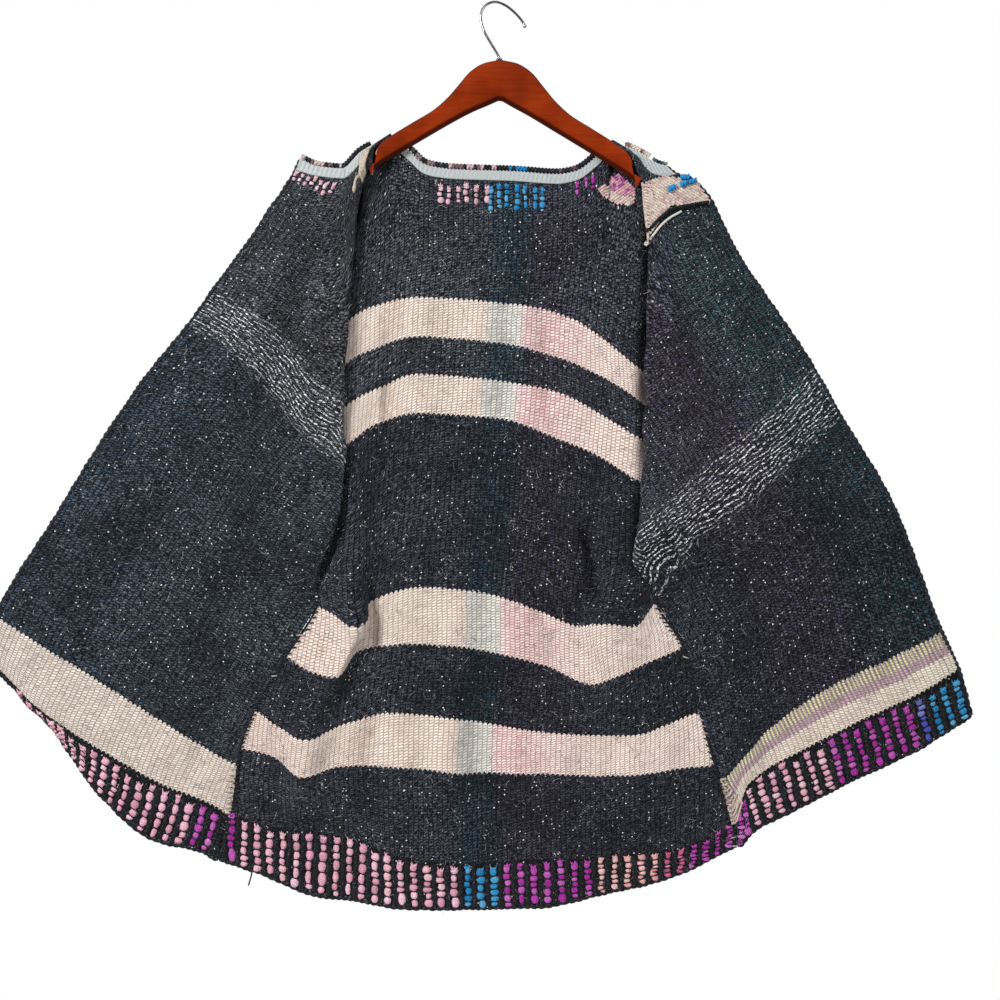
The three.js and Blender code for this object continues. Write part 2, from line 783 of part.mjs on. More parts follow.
function hangerBody() {
  const shape = new THREE.Shape(hangerOutline());
  const geometry = new THREE.ExtrudeGeometry(shape, {
    depth: WOOD - 2 * WOOD_ROUNDING,
    bevelEnabled: true,
    bevelThickness: WOOD_ROUNDING,
    bevelSize: WOOD_ROUNDING,
    bevelOffset: -WOOD_ROUNDING,
    bevelSegments: 2,
  });
  geometry.translate(0, 0, WOOD_ROUNDING - WOOD / 2);
  geometry.rotateX(Math.PI / 2);
  let body = solidOf(geometry);
  for (const cut of chamferCuts()) body = body.subtract(cut);
  return named("hanger_body", geometryOf(body), CHERRY);
}

function hangerHook() {
  const line = HOOK_LINE.map(([x, z]) => new THREE.Vector3(x, 0, z));
  line[0].z = HEAD.z + TOUCH;
  let hook = solidOf(cordAlong(line, WIRE_RADIUS, WIRE_STEPS));
  const tip = new THREE.SphereGeometry(HOOK_TIP_RADIUS, 12, 8);
  const end = line[line.length - 1];
  hook = hook.add(solidOf(tip.translate(end.x, end.y, end.z)));
  const ferrule = new THREE.CylinderGeometry(FERRULE.top, FERRULE.bottom, FERRULE.tall, FERRULE.sides);
  ferrule.rotateX(Math.PI / 2);
  hook = hook.add(solidOf(ferrule.translate(line[0].x, 0, line[0].z + FERRULE.tall / 2)));
  return named("hanger_hook", geometryOf(hook), STEEL);
}

const back = backGrid();
const fronts = { left: frontGrid("left"), right: frontGrid("right") };
const LEFT_NECK_COLUMN = OVER_END.length + DOWN_FALL.length - 1;
const RIGHT_NECK_COLUMN = LEFT_NECK_COLUMN + BACK_MIDDLE_STEPS;

function panels() {
  return [
    named("back_panel", wall(back, -CLOTH / 2, CLOTH / 2), WOOL),
    named("left_front", wall(fronts.left, -CLOTH / 2, CLOTH / 2), WOOL),
    named("right_front", wall(fronts.right, -CLOTH / 2, CLOTH / 2), WOOL),
  ];
}

// A tape on a stretch of a panel, made from the panel's own points and normals.
function tapeOn(name, panel, face, columns, rows) {
  const cut = (grid) => grid.slice(...columns).map((line) => line.slice(...rows));
  const [near, far] = [CLOTH / 2 + TOUCH, CLOTH / 2 + TOUCH + TAPE];
  return named(name, wall(cut(panel), face * near, face * far, cut(gridNormals(panel))), TWILL);
}

function tapes() {
  const { left, right } = fronts;
  const neck = [LEFT_NECK_COLUMN, RIGHT_NECK_COLUMN + 1];
  const [frontRows, frontColumnsTaped] = [[0, FRONT_TAPE_ROWS], [0, FRONT_STEPS]];
  return [
    tapeOn("back_neck_tape", back, INNER_FACE.back, neck, [0, BACK_TAPE_ROWS]),
    tapeOn("left_neck_tape", left, INNER_FACE.left, frontRows, frontColumnsTaped),
    tapeOn("right_neck_tape", right, INNER_FACE.right, frontRows, frontColumnsTaped),
  ];
}

// A roll that stands just off a cut edge, from the edge's points and those one step inside it.
function rollAlong(name, edge, inside, radius, clearance, finish) {
  const line = edge.map((p, i) => {
    const along = edge[Math.min(i + 1, edge.length - 1)].clone().sub(edge[Math.max(i - 1, 0)]).normalize();
    const outward = p.clone().sub(inside[i]);
    outward.addScaledVector(along, -outward.dot(along)).normalize();
    return p.clone().addScaledVector(outward, radius + clearance);
  });
  return named(name, cordAlong(line, radius, 2 * line.length), finish);
}

function rolls() {
  const neck = back.slice(LEFT_NECK_COLUMN + 1, RIGHT_NECK_COLUMN);
  const [backEdge, backInside] = [0, 1].map((row) => neck.map((column) => column[row]));
  const [leftEdge, leftInside] = fronts.left.map((line) => line.slice(0, LEFT_ROLL_POINTS));
  const [rightEdge, rightInside] = fronts.right.map((line) => line.slice(0, SHOULDER_ROLL_FROM));
  const [endEdge, endInside] = fronts.right.map((line) => line.slice(SHOULDER_ROLL_FROM, FRONT_STEPS));
  const { back: offBack, fronts: offFronts } = ROLL_CLEARANCE;
  return [
    rollAlong("back_neck_roll", backEdge, backInside, ROLL_RADIUS, offBack, WOOL),
    rollAlong("left_neck_roll", leftEdge, leftInside, ROLL_RADIUS, offFronts, WOOL),
    rollAlong("right_neck_roll", rightEdge, rightInside, ROLL_RADIUS, offFronts, WOOL),
    rollAlong("right_shoulder_roll", endEdge, endInside, SHOULDER_ROLL_RADIUS, offFronts, PALE_WOOL),
  ];
}

// A place just above a panel's inner face, for something of this radius that lies on it.
function above(panel, face, i, j, radius) {
  const normal = gridNormals(panel)[i][j];
  return panel[i][j].clone().addScaledVector(normal, face * (CLOTH / 2 + TOUCH + radius));
}

function knotOn(name, panel, face, i, j) {
  const knot = named(name, new THREE.SphereGeometry(KNOT_RADIUS, 12, 8), PALE_WOOL);
  knot.position.copy(above(panel, face, i, j, KNOT_RADIUS));
  return knot;
}

function yarnEnds() {
  const { left, right } = fronts;
  const last = FRONT_STEPS - 1;
  const tuft = TUFT_ROWS.map((row) => above(left, INNER_FACE.left, row, last, TUFT_RADIUS));
  const { columnsPastNeck, row } = NECK_KNOT;
  return [
    named("left_shoulder_tuft", cordAlong(tuft, TUFT_RADIUS, 2 * tuft.length), PALE_WOOL),
    knotOn("right_neck_knot", back, INNER_FACE.back, RIGHT_NECK_COLUMN + columnsPastNeck, row),
    knotOn("right_armhole_knot", right, INNER_FACE.right, ARMHOLE_KNOT_ROW, last),
  ];
}

const wrap = new THREE.Group();
wrap.add(hangerBody(), hangerHook(), ...panels(), ...tapes(), ...rolls(), ...yarnEnds());

export default wrap;
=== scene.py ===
# %% [markdown]
# # A handwoven ruana wrap on a wooden hanger
# A ruana is an open wrap: one wide back, two narrow fronts, no sleeves. This one is heavy
# weft-faced wool, hung on a lacquered hanger with both fronts swung wide open, so the inside of
# the cloth shows. The solids give every piece its place. Here each piece gets the fine shape and
# the finish that its maker gave it.

# %% The solids that everything is fitted to
import math

import bmesh
import bpy
import numpy as np
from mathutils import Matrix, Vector


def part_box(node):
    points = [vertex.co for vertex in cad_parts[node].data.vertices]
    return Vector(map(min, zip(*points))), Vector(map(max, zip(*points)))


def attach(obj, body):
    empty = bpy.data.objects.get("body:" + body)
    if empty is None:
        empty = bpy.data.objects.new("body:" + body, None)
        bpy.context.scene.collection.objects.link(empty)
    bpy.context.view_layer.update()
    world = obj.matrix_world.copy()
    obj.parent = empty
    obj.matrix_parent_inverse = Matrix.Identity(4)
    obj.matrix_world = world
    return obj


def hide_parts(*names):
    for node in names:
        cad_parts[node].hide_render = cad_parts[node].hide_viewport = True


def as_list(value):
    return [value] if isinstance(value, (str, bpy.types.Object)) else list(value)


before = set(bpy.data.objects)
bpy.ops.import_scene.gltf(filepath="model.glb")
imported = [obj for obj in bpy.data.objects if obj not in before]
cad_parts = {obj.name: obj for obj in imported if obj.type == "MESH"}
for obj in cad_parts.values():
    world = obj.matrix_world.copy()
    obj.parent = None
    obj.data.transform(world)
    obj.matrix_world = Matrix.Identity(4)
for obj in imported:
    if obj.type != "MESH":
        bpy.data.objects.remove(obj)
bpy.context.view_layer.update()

MM = 0.001
BODY = "root"

# %% [markdown]
# ## Camera
# The wrap was photographed straight on. At 2.2 metres a 1000 pixel picture that is 1.4 metres wide
# at the cloth has 1.4 mm a pixel.

# %% Camera
EYE = dict(x=5.6, z=-695.5, away=2200)
PICTURE_WIDTH = 1400
SENSOR = 36

camera_data = bpy.data.cameras.new("camera")
camera_data.sensor_width = SENSOR
camera_data.lens = SENSOR * EYE["away"] / PICTURE_WIDTH
camera = bpy.data.objects.new("camera", camera_data)
camera.location = (EYE["x"] * MM, -EYE["away"] * MM, EYE["z"] * MM)
camera.rotation_euler = (math.pi / 2, 0, 0)
bpy.context.collection.objects.link(camera)
bpy.context.scene.camera = camera
print("lens", round(camera_data.lens, 2), "mm")


# %% [markdown]
# ## Colours and nodes
# Colours are written as sRGB hex values, as a colour chart gives them, and one function turns them
# into linear light. Another adds any node to a material, with its settings and its links.

# %% Colours and nodes
def linear(code):
    """A colour's linear red, green, blue and alpha, from its sRGB hex value."""
    channels = [int(code[i:i + 2], 16) / 255 for i in (1, 3, 5)]
    return [c / 12.92 if c <= 0.04045 else ((c + 0.055) / 1.055) ** 2.4 for c in channels] + [1]


def add(tree, kind, *inputs, out=0, ramp=None, named=None, **settings):
    """Adds a node. inputs are sockets, numbers or hex colours, in order, or None to leave one as it is,
    and named ones go by the socket's name. ramp is a list of (place, hex colour). The answer is the
    output with that number or name."""
    made = tree.nodes.new("ShaderNode" + kind)
    for name, value in settings.items():
        setattr(made, name, value)
    if ramp:
        stops = made.color_ramp.elements
        while len(stops) > 1:
            stops.remove(stops[-1])
        for i, (place, code) in enumerate(ramp):
            stop = stops[0] if i == 0 else stops.new(place)
            stop.position = place
            stop.color = linear(code)
    given = [*zip(made.inputs, inputs), *((made.inputs[key], value) for key, value in (named or {}).items())]
    for socket, value in given:
        if isinstance(value, bpy.types.NodeSocket):
            tree.links.new(value, socket)
        elif isinstance(value, str):
            socket.default_value = linear(value)
        elif value is not None:
            socket.default_value = value
    return made.outputs[out]


def surface(name, **sockets):
    """A new material and its node tree."""
    material = bpy.data.materials.new(name)
    material.use_nodes = True
    finish(material, **sockets)
    return material, material.node_tree


def finish(material, **sockets):
    """Sets a number or hex colour on a Principled shader's own socket, or links an output to it. The
    sockets' names have _ for a space."""
    tree = material.node_tree
    for name, value in sockets.items():
        socket = tree.nodes["Principled BSDF"].inputs[name.replace("_", " ")]
        if isinstance(value, bpy.types.NodeSocket):
            tree.links.new(value, socket)
        else:
            socket.default_value = linear(value) if isinstance(value, str) else value


# %% [markdown]
# ## Room
# The room is plain, as a small product studio: near-white all round, brighter from above, with a
# pale round floor and two large soft lamps in front. It is darker on the viewer's side, so what is
# glossy keeps its deep colour.

# %% World
SKY = [(0, "#6f6f70"), (0.42, "#8c8c8e"), (0.5, "#b4b4b6"), (0.75, "#ffffff")]
DARK_SIDE = dict(colour="#1c1c1e", full=-1, none=-0.3, share=0.85)
SKY_STRENGTH = 0.68

world = bpy.data.worlds.new("room")
bpy.context.scene.world = world
world.use_nodes = True
room = world.node_tree
height = add(room, "SeparateXYZ", add(room, "TexCoord"), out="Z")
depth = height.node.outputs["Y"]
shade = add(room, "ValToRGB", add(room, "MapRange", height, -1, 1, 0, 1), ramp=SKY)
darker = add(room, "MapRange", depth, DARK_SIDE["full"], DARK_SIDE["none"], DARK_SIDE["share"], 0)
shade = add(room, "MixRGB", darker, shade, DARK_SIDE["colour"])
backdrop = room.nodes["Background"]
room.links.new(shade, backdrop.inputs["Color"])
backdrop.inputs["Strength"].default_value = SKY_STRENGTH
paper_white = add(room, "Background", "#ffffff", 1.0)
seen_by_eye = add(room, "LightPath", out="Is Camera Ray")
room.links.new(add(room, "MixShader", seen_by_eye, backdrop.outputs[0], paper_white),
               room.nodes["World Output"].inputs["Surface"])
bpy.context.scene.view_settings.view_transform = "Standard"

# %% Lamps
LAMPS = [
    dict(name="key", watts=110, size=1.0, place=(-2.0, -2.1, 0.5)),
    dict(name="fill", watts=30, size=1.8, place=(1.7, -2.2, -0.3)),
]
AIM = (0, 0, -0.65)

for lamp in LAMPS:
    light = bpy.data.lights.new(lamp["name"], "AREA")
    light.energy, light.size = lamp["watts"], lamp["size"]
    holder = bpy.data.objects.new(lamp["name"], light)
    holder.location = lamp["place"]
    holder.rotation_euler = (Vector(AIM) - holder.location).to_track_quat("-Z", "Y").to_euler()
    bpy.context.collection.objects.link(holder)

# %% Floor
FLOOR = dict(radius=1.05, z=-1.75)
floor_material, _ = surface("pale_floor", Base_Color="#efefee", Roughness=0.8)
bpy.ops.mesh.primitive_circle_add(vertices=96, radius=FLOOR["radius"], fill_type="NGON",
                                  location=(0, 0, FLOOR["z"]))
floor = bpy.context.object
floor.name = "floor"
floor.data.materials.append(floor_material)

# %% [markdown]
# ## The wrap's form
# The cloth hangs as ruled by its threads: weft lines run across each panel and warps run down it.
# The tables give points of the weft lines in millimetres, x and z as they are seen at Y 0 and y
# for the depth, and `down` counts from the shoulder (0) past the start of the side seams (1) to
# the hem (2). A smooth curve through the points gives any place on a panel. These are the same
# lines that the solids follow, so the fine cloth lies where its solid lies.

# %% Weft lines
BACK_ACROSS = [0, 0.08, 0.17, 0.25, 0.36, 0.5, 0.62, 0.72, 0.82, 0.91, 1]
BACK_LINES = [
    # yoke
    dict(down=0.19,
         x=[-248, -225, -193, -151, -92, 24, 106, 150, 196, 227, 246],
         z=[-488, -416, -357, -332, -323, -332, -337, -348, -381, -437, -502],
         y=[38, 30, 9, 14, 16, 18, 16, 14, 9, 30, 38]),
    # first stripe's top
    dict(down=0.31,
         x=[-253, -231, -209, -174, -105, 17, 90, 143, 188, 218, 241],
         z=[-549, -488, -446, -424, -411, -419, -434, -463, -501, -535, -584],
         y=[40, 32, 6, 15, 20, 22, 20, 15, 6, 32, 40]),
    # first stripe's bottom
    dict(down=0.41,
         x=[-258, -234, -211, -174, -108, 14, 84, 137, 189, 220, 242],
         z=[-591, -544, -505, -484, -466, -476, -494, -516, -547, -577, -619],
         y=[40, 32, 6, 15, 20, 23, 20, 15, 6, 32, 40]),
    # second stripe's top
    dict(down=0.5,
         x=[-260, -235, -209, -169, -108, 10, 84, 134, 192, 221, 244],
         z=[-626, -591, -561, -540, -518, -528, -543, -567, -602, -626, -661],
         y=[40, 32, 6, 14, 20, 24, 20, 15, 6, 32, 40]),
    # second stripe's bottom
    dict(down=0.59,
         x=[-266, -235, -207, -167, -109, 6, 80, 137, 190, 223, 245],
         z=[-665, -642, -616, -589, -574, -581, -607, -630, -663, -684, -710],
         y=[38, 30, 6, 14, 21, 24, 21, 15, 6, 30, 38]),
    # waist
    dict(down=0.81,
         x=[-266, -232, -197, -162, -104, -3, 73, 129, 171, 209, 237],
         z=[-759, -752, -738, -712, -696, -704, -726, -749, -763, -768, -780],
         y=[26, 18, 4, 18, 22, 26, 20, 18, 0, 16, 26]),
    # third stripe's top, at the start of the seams
    dict(down=1,
         x=[-251, -227, -199, -171, -106, -13, 62, 115, 154, 193, 224],
         z=[-843, -855, -872, -836, -817, -826, -851, -871, -869, -873, -837],
         y=[2, 0, -4, 16, 20, 26, 20, 24, -6, -4, 2]),
    # third stripe's bottom
    dict(down=1.19,
         x=[-294, -259, -224, -193, -118, -14, 69, 132, 171, 216, 262],
         z=[-913, -935, -943, -906, -896, -906, -927, -953, -941, -921, -901],
         y=[2, 0, -4, 16, 18, 26, 22, 20, 2, 0, 2]),
    # fourth stripe's top
    dict(down=1.41,
         x=[-339, -302, -266, -211, -141, -25, 76, 143, 196, 241, 286],
         z=[-990, -1016, -1032, -1011, -996, -1009, -1024, -1027, -1026, -1011, -994],
         y=[4, 3, 0, 14, 18, 28, 20, 16, 6, 4, 4]),
    # fourth stripe's bottom
    dict(down=1.55,
         x=[-358, -316, -270, -214, -141, -27, 78, 146, 206, 258, 307],
         z=[-1043, -1053, -1082, -1068, -1069, -1079, -1078, -1082, -1079, -1071, -1067],
         y=[4, 4, 2, 14, 18, 28, 20, 16, 8, 6, 4]),
    # border's top
    dict(down=1.79,
         x=[-370, -322, -267, -204, -127, -25, 66, 139, 209, 272, 328],
         z=[-1130, -1151, -1155, -1166, -1194, -1202, -1195, -1194, -1188, -1176, -1146],
         y=[4, 6, 5, 12, 16, 26, 20, 14, 10, 6, 4]),
    # hem
    dict(down=2,
         x=[-388, -328, -263, -202, -125, -22, 64, 137, 207, 273, 337],
         z=[-1198, -1218, -1246, -1254, -1267, -1267, -1264, -1249, -1234, -1211, -1179],
         y=[4, 6, 7, 12, 16, 26, 20, 14, 10, 6, 4]),
]
BACK_NECK = [
    dict(across=0.3, x=-122, z=-207, y=10.6),
    dict(across=0.35, x=-98, z=-227, y=11.3),
    dict(across=0.4, x=-62, z=-233, y=12),
    dict(across=0.5, x=24, z=-236, y=13),
    dict(across=0.59, x=86, z=-240, y=12),
    dict(across=0.63, x=112, z=-235.5, y=11.5),
    dict(across=0.68, x=140, z=-216, y=10.6),
]
SHOULDERS = dict(
    left=[
        dict(at=0, x=-147, z=-185, y=9.8),
        dict(at=0.22, x=-162.6, z=-195.6, y=2),
        dict(at=0.5, x=-171.2, z=-206, y=0),
        dict(at=0.75, x=-174.2, z=-222, y=0),
        dict(at=1, x=-184, z=-238.5, y=0),
        dict(at=1.2, x=-190, z=-262, y=7),
        dict(at=1.5, x=-200, z=-306, y=15),
        dict(at=1.8, x=-219, z=-362, y=20),
        dict(at=2, x=-238, z=-400, y=22),
    ],
    right=[
        dict(at=0, x=162, z=-193.5, y=9.8),
        dict(at=0.22, x=184, z=-207.2, y=2),
        dict(at=0.5, x=193.8, z=-219.5, y=0),
        dict(at=0.75, x=196.8, z=-237, y=0),
        dict(at=1, x=207, z=-255.5, y=0),
        dict(at=1.2, x=210, z=-276, y=7),
        dict(at=1.5, x=214, z=-318, y=15),
        dict(at=1.8, x=226, z=-366, y=20),
        dict(at=2, x=241, z=-400, y=22),
    ],
)
LEFT_LINES = [
    # neck edge
    dict(down=0,
         x=[-274, -249, -216, -188, -156],
         z=[-219, -229, -232, -208, -190],
         y=[-4, -5, -4, -3, 2]),
    # lower edge of the tape
    dict(down=0.04,
         x=[-280, -252, -216, -192, -171],
         z=[-234, -242, -246, -228, -201],
         y=[-4, -6, -6, -6, -5]),
    # shoulder
    dict(down=0.09,
         x=[-291, -259, -226, -200, -179],
         z=[-252, -264, -276, -250, -209],
         y=[-5, -8, -8, -7, -7.5]),
    # end of the arm
    dict(down=0.135,
         x=[-301, -268, -235, -206, -183],
         z=[-268, -290, -306, -286, -226],
         y=[-6, -10, -10, -8, -7.5]),
    # tip of the arm
    dict(down=0.18,
         x=[-312, -277, -242, -210, -192],
         z=[-283, -314, -336, -330, -246],
         y=[-8, -12, -12, -9, -7.5]),
    # top of the armhole
    dict(down=0.3,
         x=[-344, -308, -272, -235, -206],
         z=[-332, -362, -399, -427, -446],
         y=[-10, -14, -14, -10, -4]),
    # heather band's top
    dict(down=0.5,
         x=[-396, -349, -301, -255, -213],
         z=[-402, -431, -469, -528, -572],
         y=[-14, -18, -16, -11, -4],
         edge=dict(x=-244, z=-612, y=16)),
    # heather band's bottom
    dict(down=0.58,
         x=[-423, -370, -319, -266, -213],
         z=[-441, -473, -528, -593, -642],
         y=[-16, -19, -16, -11, -4],
         edge=dict(x=-247, z=-668, y=16)),
    # waist
    dict(down=0.78,
         x=[-493, -433, -370, -300, -230],
         z=[-528, -561, -612, -691, -745],
         y=[-20, -22, -17, -10, -5],
         edge=dict(x=-254, z=-759, y=9)),
    # start of the seam
    dict(down=1,
         x=[-555, -484, -409, -333, -270],
         z=[-620, -665, -724, -794, -832],
         y=[-22, -22, -17, -8, -1]),
    # below the start of the seam
    dict(down=1.3,
         x=[-617, -545, -466, -384, -332],
         z=[-721, -767, -822, -887, -938],
         y=[-24, -22, -16, -6, 1]),
    # stripe's top
    dict(down=1.61,
         x=[-700, -624, -540, -452, -382],
         z=[-858, -907, -960, -1016, -1058],
         y=[-22, -20, -15, -6, 2]),
    # stripe's bottom
    dict(down=1.8,
         x=[-715, -638, -554, -466, -393],
         z=[-912, -987, -1044, -1093, -1122],
         y=[-14, -16, -12, -4, 3]),
    # hem, its corner curled behind
    dict(down=2,
         x=[-690, -627, -560, -477, -410],
         z=[-944, -1005, -1100, -1172, -1187],
         y=[14, -8, -8, -2, 3]),
]
RIGHT_LINES = [
    # neck edge
    dict(down=0,
         x=[239, 225, 209, 192, 174],
         z=[-229, -225, -215, -206, -199],
         y=[-6, -6, -5, -3, 2]),
    # lower edge of the tape
    dict(down=0.04,
         x=[252, 238, 222, 208, 193],
         z=[-240, -243, -240, -230, -211],
         y=[-7, -8, -7, -6, -5]),
    # shoulder
    dict(down=0.09,
         x=[268, 256, 238, 218, 202],
         z=[-244, -256, -258, -248, -222],
         y=[-9, -10, -9, -7.5, -7.5]),
    # end of the arm
    dict(down=0.135,
         x=[285, 272, 251, 226, 206],
         z=[-256, -275, -286, -275, -240],
         y=[-10, -12, -10, -8, -7.5]),
    # tip of the arm
    dict(down=0.18,
         x=[300, 286, 263, 235, 215],
         z=[-276, -301, -315, -306, -263],
         y=[-12, -14, -12, -9, -7.5]),
    # top of the armhole
    dict(down=0.3,
         x=[335, 308, 280, 246, 211],
         z=[-347, -376, -404, -432, -458],
         y=[-14, -16, -14, -10, -5]),
    # above the heather band
    dict(down=0.45,
         x=[381, 342, 300, 258, 210],
         z=[-416, -458, -497, -544, -591],
         y=[-16, -18, -15, -10, -5],
         edge=dict(x=240, z=-612, y=16)),
    # heather band's top
    dict(down=0.66,
         x=[434, 375, 316, 258, 200],
         z=[-494, -558, -606, -663, -726],
         y=[-20, -21, -16, -10, -6],
         edge=dict(x=233, z=-745, y=13)),
    # waist
    dict(down=0.83,
         x=[462, 398, 335, 272, 192],
         z=[-542, -606, -661, -711, -780],
         y=[-22, -22, -16, -9, -10],
         edge=dict(x=226, z=-797, y=4)),
    # heather band's bottom, at the start of the seam
    dict(down=1,
         x=[486, 414, 349, 286, 241],
         z=[-585, -651, -710, -756, -824],
         y=[-24, -22, -16, -8, -1]),
    # below the start of the seam
    dict(down=1.3,
         x=[552, 484, 419, 349, 290],
         z=[-696, -759, -822, -880, -931],
         y=[-26, -22, -15, -6, 1]),
    # stripe's top
    dict(down=1.6,
         x=[623, 561, 489, 412, 335],
         z=[-879, -913, -945, -992, -1067],
         y=[-26, -20, -13, -5, 2]),
    # stripe's bottom
    dict(down=1.79,
         x=[647, 575, 504, 426, 353],
         z=[-932, -974, -1006, -1047, -1092],
         y=[-24, -18, -11, -4, 3]),
    # hem
    dict(down=2,
         x=[665, 587, 503, 420, 358],
         z=[-997, -1046, -1085, -1128, -1160],
         y=[-20, -15, -9, -3, 3]),
]
FRONT_ACROSS = [0, 0.23, 0.46, 0.69, 0.9]
LIP_ACROSS = 0.95

# %% [markdown]
# ### Where the panels meet
# The cloth is 3 mm thick. At the shoulders both panels fold over the hanger's arms and meet edge to
# edge, half a millimetre apart, and below the armholes they meet the same way at the side seams.
# Just above a seam the two edges of the armhole draw back from each other.

# %% Where the panels meet: millimetres, and shares of across and down
CLOTH = 3.0
SEAM_GAP = 0.5
SEAM_LIP = 6
FOLD_OVER = 6.4
FOLD_FALL = dict(y=10.5, z=-5)
NECK_FALL = dict(y=0.3, z=-6.4)
BACK_ROWS_OVER = [0, 0.011, 0.022]
ARMHOLE_TOP = 0.3
ARM_TIP_DOWN = 0.18
PARTING = dict(start=0.8, most=6, wide=0.03)
# which places of BACK_ACROSS lie at the arms' tips and at the shoulder points, left and right
TIPS = (2, 8)
SHOULDER_POINTS = (3, 7)


# %% Curves through the tables' points
def smooth_through(knots, values, at):
    """Smooth curve through values (knots × anything) at the places at, that never swings past a value."""
    knots, values, at = np.asarray(knots, float), np.asarray(values, float), np.asarray(at, float)
    shape = values.shape[1:]
    values = values.reshape(len(knots), -1)
    slope = np.diff(values, axis=0) / np.diff(knots)[:, None]
    tangent = np.zeros_like(values)
    tangent[0], tangent[-1] = slope[0], slope[-1]
    before, after = slope[:-1], slope[1:]
    agree = before * after > 0
    tangent[1:-1] = np.where(agree, 2 * before * after / np.where(agree, before + after, 1), 0)
    i = np.searchsorted(knots[1:-1], at, side="left")
    wide = (knots[i + 1] - knots[i])[:, None]
    t = np.clip((at - knots[i])[:, None] / wide, 0, 1)
    rise = t * t * (3 - 2 * t)
    found = (values[i] * (1 - rise) + values[i + 1] * rise
             + wide * tangent[i] * t * (1 - t) ** 2 - wide * tangent[i + 1] * t * t * (1 - t))
    return found.reshape(len(at), *shape)


def on_sight_line(x, y, z):
    """The point at depth y that is seen at x and z, as one array."""
    x, y, z = (np.asarray(v, float) for v in (x, y, z))
    scale = 1 + y / EYE["away"]
    return np.stack([EYE["x"] + (x - EYE["x"]) * scale, y, EYE["z"] + (z - EYE["z"]) * scale], -1)


def as_seen(points):
    """x and z at which points are seen, the opposite of on_sight_line."""
    scale = 1 + points[..., 1] / EYE["away"]
    return np.stack([EYE["x"] + (points[..., 0] - EYE["x"]) / scale,
                     EYE["z"] + (points[..., 2] - EYE["z"]) / scale], -1)


def points_of(rows):
    """The rows' named columns as points."""
    return on_sight_line(*([row[axis] for row in rows] for axis in "xyz"))


def shoulder_at(side, at):
    rows = SHOULDERS[side]
    return smooth_through([row["at"] for row in rows], points_of(rows), at)


def seam_at(side, down):
    rows = [row for row in BACK_LINES if row["down"] >= 1]
    edge = points_of(rows)[:, 0 if side == "left" else -1]
    return smooth_through([row["down"] for row in rows], edge, down)


def parting(down):
    """How far each edge of an armhole draws back just above the start of its seam."""
    share = (down - PARTING["start"]) / (1 - PARTING["start"])
    return np.where((share > 0) & (share < 1), PARTING["most"] * np.sin(np.pi * np.clip(share, 0, 1)), 0)


# %% The back's surface
def back_tops(across):
    """The first three points of each warp: over the hanger's arm, or down from the cut neck edge."""
    left, right = SHOULDERS["left"][0], SHOULDERS["right"][0]
    ends = [dict(top, across=BACK_ACROSS[k]) for top, k in zip((left, right), SHOULDER_POINTS)]
    neck = [ends[0], *BACK_NECK, ends[1]]
    tops = []
    for here in across:
        side = "left" if here < 0.5 else "right"
        from_edge = min(here, 1 - here)
        tip, point = (BACK_ACROSS[pair[0]] if side == "left" else 1 - BACK_ACROSS[pair[1]]
                      for pair in (TIPS, SHOULDER_POINTS))
        if from_edge <= point:
            at = (point - from_edge) / (point - tip) if from_edge >= tip else 2 - from_edge / tip
            start = shoulder_at(side, [at])[0]
            steps = [(0, SEAM_GAP / 2, 0), (0, FOLD_OVER, 0), (0, FOLD_FALL["y"], FOLD_FALL["z"])]
        else:
            start = smooth_through([row["across"] for row in neck], points_of(neck), [here])[0]
            steps = [(0, k * NECK_FALL["y"], k * NECK_FALL["z"]) for k in (0, 1, 2)]
        tops.append([start + step for step in steps])
    return np.array(tops)


def back_surface(across, down):
    """Points of the back, across × down."""
    wefts = smooth_through(BACK_ACROSS, points_of(BACK_LINES).transpose(1, 0, 2), across)
    warps = np.concatenate([back_tops(across), wefts], 1).transpose(1, 0, 2)
    knots = BACK_ROWS_OVER + [row["down"] for row in BACK_LINES]
    found = smooth_through(knots, warps, down).transpose(1, 0, 2)
    drawn = np.where(down < 1, parting(down), SEAM_GAP / 2)
    for edge, inward in ((across, 1), (1 - across, -1)):
        found[..., 0] += inward * np.clip(1 - edge / PARTING["wide"], 0, 1)[:, None] * drawn
    return found


# %% A front's surface
def shared_fold(side, down):
    """Lip and edge of a front where it meets the back at the shoulder or along the seam."""
    outward = -1 if side == "left" else 1
    if down <= ARMHOLE_TOP:
        past = (down - ARM_TIP_DOWN) / (ARMHOLE_TOP - ARM_TIP_DOWN)
        fold = shoulder_at(side, [down / ARM_TIP_DOWN if down <= ARM_TIP_DOWN else 1 + past])[0]
        return [fold - [0, FOLD_OVER, 0], fold - [0, SEAM_GAP / 2, 0]]
    seam = seam_at(side, [down])[0]
    return [seam + [outward * SEAM_LIP, 0, 0], seam + [outward * SEAM_GAP / 2, 0, 0]]


def front_surface(side, rows, across, down):
    """Points of a front, across × down. across is 0 at the centre front edge."""
    outward = -1 if side == "left" else 1
    knots = []
    for row, points in zip(rows, points_of(rows)):
        if "edge" in row:
            edge = on_sight_line(row["edge"]["x"], row["edge"]["y"], row["edge"]["z"])
            knots.append([*points, (points[-1] + edge) / 2, edge])
        else:
            knots.append([*points, *shared_fold(side, row["down"])])
    lines = smooth_through([row["down"] for row in rows], knots, down)
    for line, here in zip(lines, down):
        if here <= ARMHOLE_TOP or here >= 1:
            line[-2:] = shared_fold(side, here)
        else:
            line[-1, 0] += outward * parting(here)
    return smooth_through([*FRONT_ACROSS, LIP_ACROSS, 1], lines.transpose(1, 0, 2), across)


